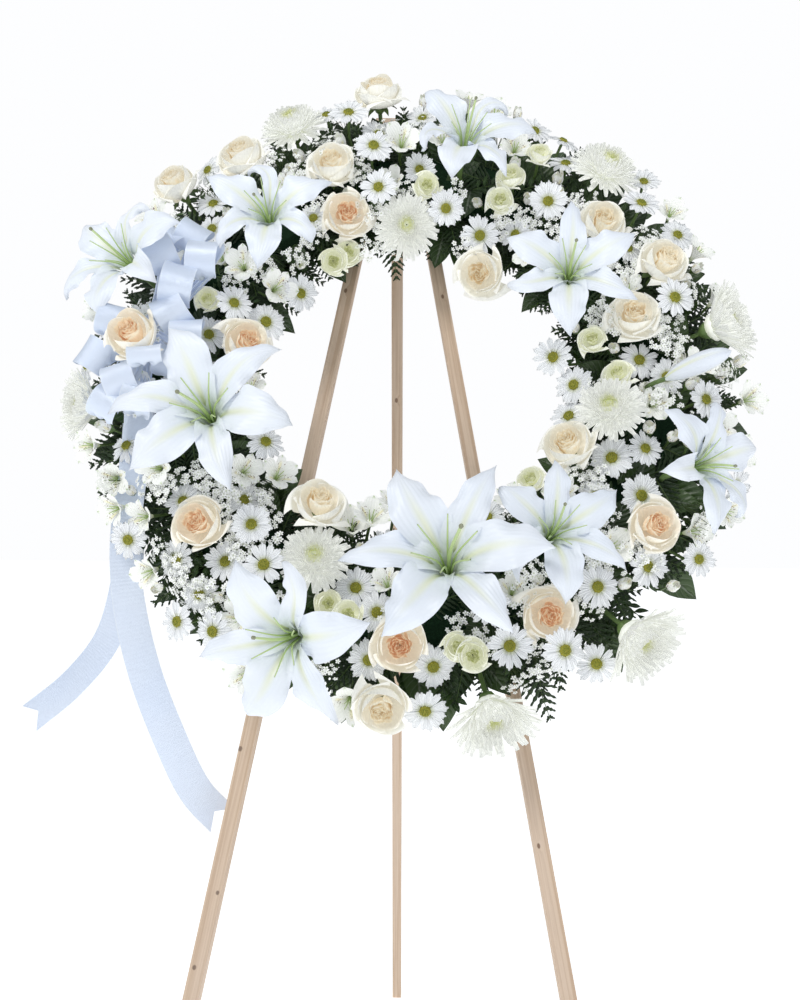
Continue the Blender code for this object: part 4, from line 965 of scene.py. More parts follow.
# %% Fourteen mixed sprays
SPRAYS = {
    "spray_upper_left": (("alstroemeria", -0.318, 0.204, 0.080), ("daisy", -0.244, 0.181, 0.092),
                         ("alstroemeria", -0.203, 0.130, 0.092)),
    "spray_inner_left_top": (("spray_rose", -0.242, 0.086, 0.088), ("daisy", -0.207, 0.073, 0.106),
                             ("daisy", -0.239, 0.044, 0.084), ("daisy", -0.174, 0.064, 0.078),
                             ("alstroemeria", -0.163, 0.104, 0.086), ("daisy", -0.135, 0.103, 0.076),
                             ("spray_rose", -0.097, 0.145, 0.080), ("spray_rose", -0.082, 0.164, 0.066)),
    "spray_top": (("daisy", -0.083, 0.340, 0.104), ("daisy", -0.050, 0.282, 0.116),
                  ("alstroemeria", -0.016, 0.296, 0.104)),
    "spray_inner_top": (("daisy", -0.043, 0.226, 0.112), ("spray_rose", 0.015, 0.236, 0.100),
                        ("daisy", 0.038, 0.205, 0.100), ("daisy", 0.079, 0.173, 0.092)),
    "spray_right_top": (("spray_rose", 0.103, 0.217, 0.098), ("spray_rose", 0.117, 0.247, 0.100),
                        ("spray_rose", 0.152, 0.280, 0.100), ("daisy", 0.160, 0.212, 0.104),
                        ("daisy", 0.270, 0.208, 0.106)),
    "spray_right": (("daisy", 0.298, 0.078, 0.114), ("daisy", 0.262, 0.016, 0.080),
                    ("spray_rose", 0.236, -0.006, 0.086), ("spray_rose", 0.207, 0.034, 0.092),
                    ("daisy", 0.330, -0.038, 0.092)),
    "spray_inner_right": (("daisy", 0.164, 0.022, 0.074), ("daisy", 0.186, -0.014, 0.076),
                          ("daisy", 0.180, -0.050, 0.070), ("daisy", 0.224, -0.104, 0.080),
                          ("spray_rose", 0.134, -0.134, 0.084)),
    "spray_lower_right": (("daisy", 0.254, -0.148, 0.080), ("daisy", 0.256, -0.228, 0.080),
                          ("daisy", 0.198, -0.254, 0.096)),
    "spray_bottom_right": (("daisy", 0.084, -0.276, 0.104), ("daisy", 0.104, -0.318, 0.102),
                           ("daisy", 0.160, -0.322, 0.104), ("spray_rose", 0.050, -0.318, 0.100),
                           ("spray_rose", 0.066, -0.328, 0.104)),
    "spray_bottom": (("daisy", 0.026, -0.338, 0.082), ("daisy", -0.042, -0.332, 0.082),
                     ("daisy", 0.018, -0.382, 0.068), ("alstroemeria", -0.062, -0.374, 0.064),
                     ("daisy", -0.034, -0.282, 0.084), ("daisy", -0.058, -0.254, 0.076)),
    "spray_bottom_left": (("spray_rose", -0.086, -0.274, 0.088), ("spray_rose", -0.062, -0.290, 0.108),
                          ("spray_rose", -0.082, -0.314, 0.086), ("alstroemeria", -0.171, -0.347, 0.074)),
    "spray_lower_left": (("daisy", -0.170, -0.192, 0.104), ("daisy", -0.200, -0.228, 0.082),
                         ("daisy", -0.154, -0.236, 0.104), ("daisy", -0.254, -0.226, 0.080),
                         ("daisy", -0.208, -0.304, 0.082)),
    "spray_left": (("daisy", -0.252, -0.160, 0.082), ("alstroemeria", -0.262, -0.101, 0.100),
                   ("alstroemeria", -0.280, -0.126, 0.096)),
    "spray_inner_left": (("daisy", -0.163, -0.092, 0.090), ("alstroemeria", -0.148, -0.130, 0.084),
                         ("alstroemeria", -0.066, -0.184, 0.066), ("alstroemeria", -0.043, -0.176, 0.078),
                         ("alstroemeria", -0.016, -0.160, 0.068)),
}
HEAD_SIZES = {"daisy": (0.0245, (0.94, 1.06)), "alstroemeria": (0.022, (0.95, 1.1)),
              "spray_rose": (0.0170, (0.94, 1.10))}
for name, heads in SPRAYS.items():
    draw = random.Random(name)
    growth = Growth()
    for kind, u, v, n in heads:
        small_head(growth, kind, u, v, n, 0.16, *HEAD_SIZES[kind], draw)
    growth.make(name + "_bloom", small_looks, [name])
    print(name, "heads", len(heads))

# %% [markdown]
# ## Filling the gaps with white
#
# Seen from a step away about two thirds of this face is white, right out to its edge. So small heads
# also fill what the listed flowers leave free. We try many seeded places over the ring and keep one
# only where it is clear of every head so far, with the low ones tucked in between the big blooms.

# %% Fillers
taken = [(u, v, 0.50 * reach) for (u, v, n, a, b, c, reach), _ in LILIES.values()]
taken += [(u, v, radius) for u, v, n, radius in MUMS.values()]
taken += [(u, v, 0.92 * ROSE_RADIUS) for places in ROSES.values() for u, v, n, warm in places]
taken += [(u, v, 0.0195) for heads in SPRAYS.values() for kind, u, v, n in heads]
FILLERS = (("daisy", 0.0225, 34), ("alstroemeria", 0.0200, 40), ("bud", 0.0100, 46))
FILLER_TRIES = 5000
FILLER_SPREADS = {"daisy": (0.94, 1.06), "alstroemeria": (0.92, 1.08), "bud": (0.9, 1.25)}
filler_draw = random.Random(41)
fillers = []
for kind, size, wanted in FILLERS:
    made = 0
    for _ in range(FILLER_TRIES):
        theta = filler_draw.uniform(0, math.tau)
        radius = RING_RADIUS + filler_draw.uniform(-0.092, 0.106)
        u, v = radius * math.cos(theta), radius * math.sin(theta)
        if all(math.hypot(u - a, v - b) > 0.86 * (c + 0.8 * size) for a, b, c in taken):
            n = cover_height(radius, 0.058, 0.026) + filler_draw.uniform(-0.004, 0.006)
            fillers.append((kind, size, u, v, n))
            taken.append((u, v, 0.8 * size))
            made += 1
        if made == wanted:
            break
print("fillers", len(fillers))

for part in range(4):
    growth = Growth()
    draw = random.Random(500 + part)
    chosen = [item for item in fillers if int((math.atan2(item[3], item[2]) % math.tau) / math.tau * 4) == part]
    for kind, size, u, v, n in chosen:
        small_head(growth, kind, u, v, n, 0.35, size, FILLER_SPREADS[kind], draw)
    growth.make("gap_blooms_%d" % (part + 1), small_looks)
    print("gap blooms", part + 1, "heads", len(chosen), "points", growth.count)

# %% [markdown]
# ## Leaves, fern and sprigs
#
# The green collar is leatherleaf fern, broad salal leaves and small-leaved sprigs. A frond is a rib
# with pairs of leaflets whose half width switches between a tooth and a notch. A broad leaf folds a
# little along its midrib. All of them grow along +x with their face towards +z, so one matrix sets
# each in place.

# %% Leaf shapes
green_looks = [salal_finish, fern_finish, sprig_finish, stem_finish]
SALAL, FERN, SPRIG, TWIG = range(4)
LEAF_OUTLINE = (0.02, 0.10, 0.21, 0.25, 0.18, 0.07, 0.003)


def broad_leaf(growth, place, length, draw, look=SALAL, narrow=1.0, rows=10, cols=7):
    s, t = lattice(rows, cols)
    half = smooth_run((0, 0.1, 0.3, 0.52, 0.76, 0.92, 1), LEAF_OUTLINE, s) * narrow
    droop = draw.uniform(0.10, 0.30)
    fold = draw.uniform(0.10, 0.40)
    wave = 0.020 * np.sin(9 * s + draw.uniform(0, 6)) * np.abs(t) * np.sign(t + 0.01)
    height = -droop * s ** 2 + fold * half * np.abs(t) + wave
    aside = half * t + draw.uniform(-0.08, 0.08) * s ** 2
    points = np.stack([s + 0 * t, aside, height], -1) * length
    growth.grid(carried(place, points), s, t, draw.random(), look)


FROND_PAIRS = 9


def fern_frond(growth, place, length, draw):
    droop = draw.uniform(0.12, 0.34)
    tone = draw.random()
    rib_steps = np.linspace(0, 1, 7)
    rib = np.stack([rib_steps, 0 * rib_steps, -droop * rib_steps ** 2 - 0.004], 1) * length
    growth.tube(carried(place, rib), np.linspace(0.0012, 0.0004, 7), 4, 0.2, TWIG)
    s, t = lattice(7, 3)
    teeth = np.array([0.7, 1.0, 0.55, 1.0, 0.55, 0.9, 0.05])[:, None]
    for k in range(FROND_PAIRS):
        x = 0.10 + 0.84 * k / (FROND_PAIRS - 1)
        reach = 0.36 * (1 - (k / (FROND_PAIRS - 0.4)) ** 1.25) + 0.05
        half = (0.060 * (1 - 0.55 * k / FROND_PAIRS)) * teeth * (1 - 0.65 * s)
        for sign in (-1, 1):
            slant = math.radians(58 - 14 * k / FROND_PAIRS + draw.uniform(-5, 5))
            run_x = x + reach * s * math.cos(slant) - t * half * math.sin(slant)
            run_y = sign * (reach * s * math.sin(slant) + t * half * math.cos(slant))
            height = -droop * run_x ** 2 - 0.10 * reach * s ** 2 - 0.02 * np.abs(t)
            height = height + 0.02 * sign * s * (tone - 0.5)
            growth.grid(carried(place, np.stack([run_x, run_y, height], -1) * length), s, t, tone, FERN)


SPRIG_LEAVES = 11


def leafy_sprig(growth, place, length, draw):
    steps = np.linspace(0, 1, 7)
    sway = draw.uniform(-0.15, 0.15)
    stem = np.stack([steps, sway * steps ** 2, -0.15 * steps ** 2], 1) * length
    growth.tube(carried(place, stem), np.linspace(0.0011, 0.0005, 7), 4, 0.3, TWIG)
    for k in range(SPRIG_LEAVES):
        x = 0.14 + 0.86 * k / (SPRIG_LEAVES - 1)
        angle = (1 if k % 2 else -1) * draw.uniform(0.6, 1.1) if k < SPRIG_LEAVES - 1 else 0.0
        foot = Vector((x * length, sway * x * x * length, -0.15 * x * x * length))
        turn = Matrix.Rotation(angle, 4, "Z") @ Matrix.Rotation(draw.uniform(-0.5, 0.2), 4, "Y")
        broad_leaf(growth, place @ Matrix.Translation(foot) @ turn, 0.26 * length, draw, SPRIG, 0.88, 8, 5)


def leaf_place(start, out, face):
    """Matrix from a leaf's own space, x along it and z out of its face, to the world."""
    out = Vector(out).normalized()
    side = Vector(face).cross(out).normalized()
    turn = Matrix((out, side, out.cross(side))).transposed().to_4x4()
    return WREATH @ Matrix.Translation(start) @ turn


print("leaf shapes ready")

# %% [markdown]
# The model's own leafy stems come next. Each is a twig that follows the ring's edge from one angle to
# another, with leaves at the angles listed. A minus sign before a length asks for a fern frond.

# %% Leafy stems of the model
GREENS = {
    "greens_top": (60, 118, ((60, 0.070), (78, -0.085), (90, 0.075), (103, 0.070), (118, -0.080))),
    "greens_right": (-24, 48, ((-24, 0.072), (-8, 0.080), (4, 0.078), (20, -0.085), (34, 0.076), (48, 0.074))),
    "greens_bottom": (-100, -38, ((-100, 0.070), (-84, 0.072), (-68, -0.084), (-54, 0.078), (-38, 0.080))),
    "greens_left": (128, 200, ((128, -0.080), (142, 0.076), (154, 0.072), (170, 0.068), (186, 0.070),
                               (200, 0.066))),
    "greens_inner_top": (40, 150, ((40, 0.058), (62, 0.062), (80, 0.060), (98, -0.070), (122, 0.060),
                                   (150, 0.062))),
    "greens_inner_bottom": (-160, -30, ((-160, 0.060), (-140, 0.066), (-116, 0.058), (-92, 0.060),
                                        (-66, -0.070), (-46, 0.062), (-30, 0.058))),
}
GREENS_HEIGHT = 0.034
TWIG_GAP = 0.009
for name, (first, last, leaves) in GREENS.items():
    draw = random.Random(name)
    growth = Growth()
    inner = "inner" in name
    sense = -1 if inner else 1
    radius = RING_RADIUS + sense * (FOAM_HALF + TWIG_GAP)
    turns = np.radians(np.linspace(first, last, 2 + abs(last - first) // 4))
    growth.tube(carried(WREATH, wrapped(radius, turns, GREENS_HEIGHT)), 0.0020, 6, 0.2, TWIG)
    for degrees, length in leaves:
        a = math.radians(degrees)
        start = Vector((radius * math.cos(a), radius * math.sin(a), GREENS_HEIGHT))
        out = Vector((sense * math.cos(a), sense * math.sin(a), 0.02))
        place = leaf_place(start, out, (0.2 * out.x, 0.2 * out.y, 1))
        if length < 0:
            fern_frond(growth, place, abs(length) * 1.08, draw)
        else:
            broad_leaf(growth, place, length * 1.05, draw)
    growth.make(name + "_foliage", green_looks, [name])
    print(name, "leaves", len(leaves))

# %% [markdown]
# ## Filling the bed
#
# No florist leaves foam bare. Short leaves stand all over it, leaning flat where they face us and
# reaching sideways at both edges, in twelve sectors so that no one mesh grows too big. Positions come
# from two angles, one round the ring and one over its section, with a seeded scatter.

# %% Bed of leaves
def bed_leaf(growth, theta, phi, draw):
    ray = Vector((math.cos(theta), math.sin(theta), 0))
    round_ring = Vector((-math.sin(theta), math.cos(theta), 0))
    face_out = ray * math.sin(phi) + Vector((0, 0, 1)) * math.cos(phi)
    start = ray * (RING_RADIUS + 0.9 * FOAM_HALF * math.sin(phi))
    start = start + Vector((0, 0, 0.026 + 0.026 * math.cos(phi)))
    edge = abs(math.sin(phi))
    swing = draw.uniform(-1.0, 1.0)
    flat = ray * math.sin(phi) * 1.4 + round_ring * swing * (1.3 - 0.7 * edge)
    if edge < 0.6:
        flat = flat + ray * draw.uniform(-0.7, 0.7)
    lean = 0.55 if edge < 0.6 else 0.42 + 0.35 * math.cos(phi)
    out = (flat.normalized() + Vector((0, 0, lean + draw.uniform(-0.12, 0.18)))).normalized()
    face = Vector((0, 0, 1)) + face_out * 0.3 + Vector((draw.uniform(-0.3, 0.3), draw.uniform(-0.3, 0.3), 0))
    place = leaf_place(start, out, face)
    outer = phi > 0
    span = (0.060 + 0.014 * edge * (1.0 if outer else 0.30)) * draw.uniform(0.85, 1.06)
    kind = draw.random()
    if kind < 0.52:
        fern_frond(growth, place, span * 1.06, draw)
    elif kind < 0.86:
        broad_leaf(growth, place, span * 0.98, draw)
    else:
        leafy_sprig(growth, place, span * 0.9, draw)


SECTORS = 12
STEPS = 6
SECTION_ANGLES = (-100, -78, -52, -18, 18, 52, 78, 100)
for sector in range(SECTORS):
    draw = random.Random(100 + sector)
    growth = Growth()
    for step in range(STEPS):
        for k, phi in enumerate(SECTION_ANGLES):
            theta = math.tau * (sector + (step + 0.5 * (k % 2) + draw.uniform(-0.3, 0.3)) / STEPS) / SECTORS
            bed_leaf(growth, theta, math.radians(phi + draw.uniform(-9, 9)), draw)
    growth.make("leaf_bed_%02d" % (sector + 1), green_looks)
    print("leaf bed", sector + 1, "points", growth.count)

# %% [markdown]
# ## Limonium
#
# Fine white filler softens every gap: wiry stems that fork again and again into papery florets three
# millimetres across. We grow each sprig as a few forks with a star of five small petals at each end,
# and place sprigs where the photograph shows them, plus a seeded scatter between the larger heads.

# %% Limonium
limonium_finish = Finish("limonium_floret", {"Roughness": 0.65})
along, across, number = limonium_finish.marks()
limonium_tone = limonium_finish.mix(along.step(0.0, 0.5), (0.46, 0.50, 0.36), (0.90, 0.91, 0.90))
# Painted glow: the florets give off a little of their own colour, lifting them out of the shaded gaps.
limonium_finish.colour_with_painted_glow(limonium_tone, 0.12)
limonium_finish.bump(limonium_finish.noise(700.0), 0.0002)


def floret(growth, centre, out, size, draw):
    """Star of five small petals."""
    out = out / np.linalg.norm(out)
    side = np.cross(out, (0.36, 0.48, 0.80))
    side = side / np.linalg.norm(side)
    other = np.cross(out, side)
    start = draw.uniform(0, 6)
    for k in range(5):
        a = start + math.tau * k / 5
        ray = side * math.cos(a) + other * math.sin(a)
        wing = other * math.cos(a) - side * math.sin(a)
        points = []
        for reach, lift, half in ((0.0, 0.0, 0.08), (0.62, 0.42, 0.34), (1.0, 0.36, 0.16)):
            middle = centre + ray * size * reach + out * size * lift
            points.append([middle - wing * size * half, middle + wing * size * half])
        growth.grid(np.array(points), np.array([[0.0], [0.6], [1.0]]), 0.0, 0.5)


LIMONIUM_FLORETS = 30
SPRIGS_A_PIECE = 34
SPRIG_TRIES = 400


def limonium(growth, start, out, height, draw):
    start = np.array(WREATH @ Vector(start))
    out = np.array(WREATH.to_3x3() @ Vector(out).normalized())
    for k in range(LIMONIUM_FLORETS):
        spread = np.array([draw.gauss(0, 1) for axis in range(3)])
        spread = spread - out * spread.dot(out)
        radius = 0.017 * math.sqrt(draw.random())
        tip = start + out * height * draw.uniform(0.80, 1.05) + spread / np.linalg.norm(spread) * radius
        if k % 3 == 0:
            fork = start + out * height * 0.55
            growth.tube(np.array([start, fork, tip]), np.array([0.0007, 0.0005, 0.0003]), 3, 0.8, 1)
        floret(growth, tip, tip - start - out * height * 0.3, draw.uniform(0.0024, 0.0036), draw)


SPRIG_SPOTS = ((-0.030, 0.166), (-0.052, 0.158), (0.062, 0.158), (0.108, 0.196), (-0.140, 0.140),
               (0.286, -0.040), (-0.200, -0.150), (-0.160, -0.146), (-0.004, -0.268), (0.138, -0.250),
               (0.252, -0.190), (0.262, -0.222), (-0.252, -0.240), (-0.218, -0.262), (0.200, 0.190))
for part in range(4):
    draw = random.Random(300 + part)
    growth = Growth()
    spots = list(SPRIG_SPOTS[part::4])
    for _ in range(SPRIG_TRIES):
        theta = math.tau * (part + draw.random()) / 4
        radius = RING_RADIUS + draw.uniform(-0.090, 0.100)
        u, v = radius * math.cos(theta), radius * math.sin(theta)
        free = all(math.hypot(u - a, v - b) > 0.80 * c + 0.004 for a, b, c in taken)
        if free and len(spots) < SPRIGS_A_PIECE:
            spots.append((u, v))
    for u, v in spots:
        radius = math.hypot(u, v)
        base = max(RING_RADIUS - 0.026, min(RING_RADIUS + 0.026, radius))
        start = Vector((u / radius * base, v / radius * base, 0.050))
        tip = Vector((u, v, cover_height(radius, 0.062, 0.030) + draw.uniform(-0.006, 0.010)))
        limonium(growth, start, tip - start, (tip - start).length, draw)
    growth.make("limonium_%d" % (part + 1), [limonium_finish, stem_finish])
    print("limonium", part + 1, "sprigs", len(spots))

# %% [markdown]
# ## Satin ribbon
#
# The bow is one length of satin ribbon, looped back and forth, tied at the knot and left with two
# tails cut in swallow tails. Ribbon doesn't stretch, so where a loop is pinched at the knot its spare
# width goes into pleats: as the loop narrows, a wave across it deepens, and the width along the cloth
# stays the same.

# %% Satin
satin_finish = Finish("ribbon_satin", {"Specular IOR Level": 0.8, "Anisotropic": 0.7, "Metallic": 0.30,
                                       "Coat Weight": 0.35, "Coat Roughness": 0.22})
along, across, number = satin_finish.marks()
satin_tone = satin_finish.mix(satin_finish.noise(9.0), (0.64, 0.74, 0.93), (0.80, 0.86, 0.96))
selvage = abs(across).step(0.93, 0.97)
# Painted glow: the satin gives off a little of its own colour, brightening its shaded loops.
satin_finish.colour_with_painted_glow(satin_finish.mix(selvage * 0.35, satin_tone, (0.90, 0.94, 0.98)), 0.10)
thread = (across * 260.0).sine() * 0.5 + (along * 900.0).sine() * 0.3
satin_finish.feed("Roughness", satin_finish.noise(30.0) * 0.16 + 0.24 + selvage * 0.2)
satin_finish.bump(thread + satin_finish.noise(120.0) * 1.2, 0.00012)
RIBBON_WIDTH = 0.0365
PLEAT_DEPTH = 0.195
KNOT = Vector((-0.310, 0.050, 0.088))


def ribbon_grid(centres, sides, faces, shares, phase, notch=0.0):
    """Band of cloth: where its share of width drops, the spare goes into pleats."""
    cols = 17
    t = np.linspace(-1, 1, cols)[None, :]
    half = RIBBON_WIDTH / 2 * shares[:, None]
    spare = np.sqrt(np.maximum(0.0, 1 / shares[:, None] ** 2 - 1))
    depth = half * spare * PLEAT_DEPTH
    pleats = depth * np.sin(math.pi * 2.5 * t + phase)
    bow = 0.0010 * (1 - t * t)
    across_band = sides[:, None] * (half * t)[..., None]
    grid = centres[:, None] + across_band + faces[:, None] * (pleats + bow)[..., None]
    if notch:
        rows = len(centres)
        run = unit(np.gradient(centres, axis=0))
        back = np.linspace(0, 1, rows)[:, None] ** 12 * notch * (1 - np.abs(t))
        grid = grid - run[:, None] * back[..., None]
    return grid


def cloth_size(grid):
    """Length and area of a band of cloth."""
    along_run = np.linalg.norm(np.diff(grid[:, grid.shape[1] // 2], axis=0), axis=1).sum()
    near, aside, ahead, far = grid[:-1, :-1], grid[:-1, 1:], grid[1:, :-1], grid[1:, 1:]
    halves = np.cross(ahead - near, aside - near), np.cross(ahead - far, aside - far)
    area = sum(np.linalg.norm(half, axis=2).sum() / 2 for half in halves)
    return float(along_run), float(area)


def ribbon_piece(name, grid):
    growth = Growth()
    rows, cols = grid.shape[:2]
    s = np.linspace(0, 1, rows)[:, None]
    growth.grid(carried(WREATH, grid), s, np.linspace(-1, 1, cols)[None, :], 0.5)
    piece = growth.make(name, [satin_finish], ["ribbon_bow"])
    length, area = cloth_size(grid)


print("satin ready")

# %% [markdown]
# The loops come out between the flowers round a hidden knot. Each is a full-width ring at the end of a
# narrow gathered neck. The table gives the middle of each ring in the wreath's frame, the direction
# that it rolls in, how far its band tips sideways, and its size.

# %% Bow
LOOPS = ((-0.238, 0.113, 0.132, 84, -4, 1.06), (-0.292, 0.121, 0.130, 118, 6, 1.00),
         (-0.265, 0.080, 0.136, 262, -12, 1.12), (-0.258, 0.150, 0.120, 62, 10, 0.86),
         (-0.285, 0.146, 0.118, 48, -8, 0.84), (-0.271, 0.049, 0.130, 300, 8, 1.00),
         (-0.252, 0.020, 0.126, 92, 4, 0.92), (-0.334, 0.037, 0.130, 78, 6, 0.84),
         (-0.358, 0.001, 0.112, 150, -6, 0.86), (-0.268, -0.010, 0.118, 250, 0, 0.84),
         (-0.318, -0.036, 0.130, 108, -8, 0.94), (-0.298, -0.056, 0.126, 76, 6, 0.90),
         (-0.332, -0.062, 0.122, 60, 0, 0.86), (-0.286, -0.020, 0.160, 98, 4, 0.50))
RING_ROWS = 44
NECK_ROWS = 14
NECK_SHARE = 0.30


def bow_loop(u, v, n, direction, tip, size):
    """Neck out of the knot, once round the ring and back along the neck."""
    a = math.radians(direction)
    b = math.radians(tip)
    out = np.array((math.cos(a), math.sin(a), 0.0))
    flat_side = np.array((-math.sin(a), math.cos(a), 0.0))
    off_ring = np.array((0.0, 0.0, 1.0))
    up = off_ring * math.cos(b) - flat_side * math.sin(b)
    side = flat_side * math.cos(b) + off_ring * math.sin(b)
    middle = np.array((u, v, n))
    turn = np.radians(np.linspace(-96, 248, RING_ROWS))[:, None]
    ring = middle + (0.0215 * np.cos(turn) * out + (0.0165 + 0.002 * np.cos(turn)) * np.sin(turn) * up) * size
    knot_end = np.array(KNOT)
    dip = 0.5 * (knot_end + ring[0]) + np.array((0, 0, -0.012))
    neck = smooth_run((0, 0.5, 1), np.array([knot_end, dip, ring[0]]), np.linspace(0, 0.93, NECK_ROWS))
    back = smooth_run((0, 0.5, 1), np.array([ring[-1], dip + (0, 0, 0.004), knot_end + (0, 0, 0.003)]),
                      np.linspace(0.07, 1, NECK_ROWS))
    centres = np.concatenate([neck, ring, back])
    run = unit(np.gradient(centres, axis=0))
    sides = unit(side - run * (run @ side)[:, None])
    faces = unit(np.cross(run, sides))
    open_width = np.clip(np.sin(np.linspace(-0.35, math.pi + 0.35, RING_ROWS)) * 1.5 + 0.48, NECK_SHARE, 1.0)
    gathered = np.full(NECK_ROWS, NECK_SHARE)
    shares = np.concatenate([gathered, open_width, gathered])
    shares = np.convolve(np.pad(shares, 3, "edge"), np.ones(7) / 7, "valid")
    return ribbon_grid(centres, sides, faces, shares, direction)


for k, loop in enumerate(LOOPS):
    ribbon_piece("bow_loop_%02d" % (k + 1), bow_loop(*loop))

# %% [markdown]
# The knot is one more turn of ribbon, gathered across and wound round the necks. A short wooden pick
# holds it down in the foam.

# %% Knot
knot_growth = Growth()
turns = np.linspace(0, math.tau, 24)
wrap = np.stack([0.015 * np.cos(turns), 0 * turns, 0.013 * np.sin(turns)], 1)
wrap_width = np.linspace(-1, 1, 9)
swell = 0.0016 * np.cos(wrap_width * 9) - 0.003 * wrap_width ** 2
knot_grid = wrap[:, None] + np.array((0, 1.0, 0))[None, None] * (wrap_width * 0.009)[None, :, None]
knot_grid = knot_grid + (wrap / 0.014)[:, None] * swell[None, :, None]
knot_turn = Matrix.Translation(KNOT + Vector((0, 0, 0.002))) @ Matrix.Rotation(math.radians(35), 4, "Z")
knot_growth.grid(carried(WREATH @ knot_turn, knot_grid), lattice(24, 9)[0], wrap_width[None, :], 0.5)
pick = np.array([list(KNOT - Vector((0, 0, 0.008))), (0.94 * KNOT.x, 0.94 * KNOT.y, FOAM_TOP - 0.022)])
knot_growth.tube(carried(WREATH, pick), 0.0022, 6, 0.3, 1)
knot_growth.make("bow_knot", [satin_finish, stem_finish], ["ribbon_bow"])
print("knot made")

# %% [markdown]
# The tails hang from the knot down the face of the flowers and swing free below them. Their routes
# are the model's, drawn smooth: each point gives the middle of the ribbon and how far it has turned.

# %% Tails
SWALLOW_NOTCH = 0.014
LONG_TAIL = ((-0.314, 0.042, 0.080, 0), (-0.328, 0.008, 0.070, 0), (-0.314, -0.052, 0.078, 0),
             (-0.314, -0.130, 0.076, -4), (-0.319, -0.200, 0.062, 0), (-0.313, -0.266, 0.046, 8),
             (-0.294, -0.340, 0.026, 14), (-0.266, -0.410, 0.002, 18), (-0.238, -0.465, -0.018, 28),
             (-0.206, -0.498, -0.030, 40))
SHORT_TAIL = ((-0.318, 0.042, 0.078, 0), (-0.334, 0.004, 0.061, 0), (-0.318, -0.052, 0.063, 0),
              (-0.319, -0.130, 0.054, 0), (-0.322, -0.190, 0.040, -6), (-0.327, -0.245, 0.024, -22),
              (-0.346, -0.304, 0.008, -38), (-0.384, -0.352, -0.004, -48), (-0.432, -0.392, -0.012, -54))


def tail(name, route, sway):
    route = np.array(route, float)
    keys = np.linspace(0, 1, len(route))
    at = np.linspace(0, 1, 110)
    smooth = smooth_run(keys, route, at)
    centres = smooth[:, :3]
    turn = np.radians(smooth[:, 3])
    sides = np.stack([np.cos(turn), np.sin(turn), sway * np.sin(5.5 * at)], 1)
    run = unit(np.gradient(centres, axis=0))
    sides = unit(sides - run * (sides * run).sum(1)[:, None])
    faces = np.cross(sides, run) * -1
    shares = np.interp(at, (0, 0.08, 1), (0.45, 1.0, 1.0))
    ribbon_piece(name, ribbon_grid(centres, sides, faces, shares, 0.4, SWALLOW_NOTCH))


tail("long_tail", LONG_TAIL, 0.22)
tail("short_tail", SHORT_TAIL, -0.18)

# %% [markdown]
# ## The easel
#
# The legs are planed pine. Their shapes are right already, so they only get wood: straight grain in
# coordinates along each leg, so the lines follow the leg when it folds. Growth rings are noise that
# is stretched thirty times along the grain. Knots are small dark ovals that bend the grain round them.

# %% Pine
def pine_finish(name, axis, side, middle=0.0, knots=(), smudges=()):
    made = Finish(name, {"Roughness": 0.62, "Specular IOR Level": 0.3})
    here = made.here()
    offset = made.node("ShaderNodeVectorMath", {"operation": "SUBTRACT"}, {0: here, 1: tuple(BOLT)})

    def measure(direction):
        return made.node("ShaderNodeVectorMath", {"operation": "DOT_PRODUCT"},
                         {0: offset, 1: tuple(direction)}, "Value")

    def away(place, aside, size, stretch):
        """Grows from 0 at the middle of an oval on the leg's face to 1 at its edge and on."""
        return ((down - place) / (size * stretch)) ** 2.0 + ((wide - (middle + aside)) / size) ** 2.0

    def streaks(across_leg, scales, detail):
        signals = {k: signal * scale for k, (signal, scale) in enumerate(zip((across_leg, deep, down), scales))}
        return made.noise(1.0, detail, made.node("ShaderNodeCombineXYZ", {}, signals))

    down, wide, deep = measure(axis), measure(side), measure(Vector(axis).cross(Vector(side)))
    gaps = [away(*knot, 1.7) for knot in knots]
    bent = wide
    for gap in gaps:
        bent = bent + (1 - gap.step(0.0, 9.0)) * 0.0030
    rings = streaks(bent, (420.0, 300.0, 5.0), 3.0)
    fine = streaks(wide, (1900.0, 1900.0, 26.0), 2.0)
    broad = streaks(wide, (60.0, 60.0, 3.0), 2.0)
    tone = made.mix(rings.step(0.36, 0.66), (0.70, 0.545, 0.415), (0.560, 0.405, 0.285))
    tone = made.mix(broad.step(0.35, 0.7) * 0.45, tone, (0.74, 0.60, 0.49))
    tone = made.mix(fine.step(0.58, 0.74) * 0.35, tone, (0.42, 0.29, 0.20))
    for gap in gaps:
        tone = made.mix((1 - gap.step(0.35, 1.3)) * 0.8, tone, (0.16, 0.085, 0.05))
    for smudge in smudges:
        tone = made.mix((1 - away(*smudge, 1.2).step(0.3, 1.4)) * 0.75, tone, (0.13, 0.085, 0.065))
    made.feed("Base Color", tone)
    made.feed("Roughness", rings * 0.15 + 0.55)
    made.bump(rings * 0.8 + fine * 0.7, 0.0004)
    return made


def leg_axis(sign):
    """Direction down a front leg and the direction across its face."""
    down = -up_axis * math.cos(SPLAY) + across_axis * sign * math.sin(SPLAY)
    return down, (across_axis * math.cos(SPLAY) + up_axis * sign * math.sin(SPLAY))


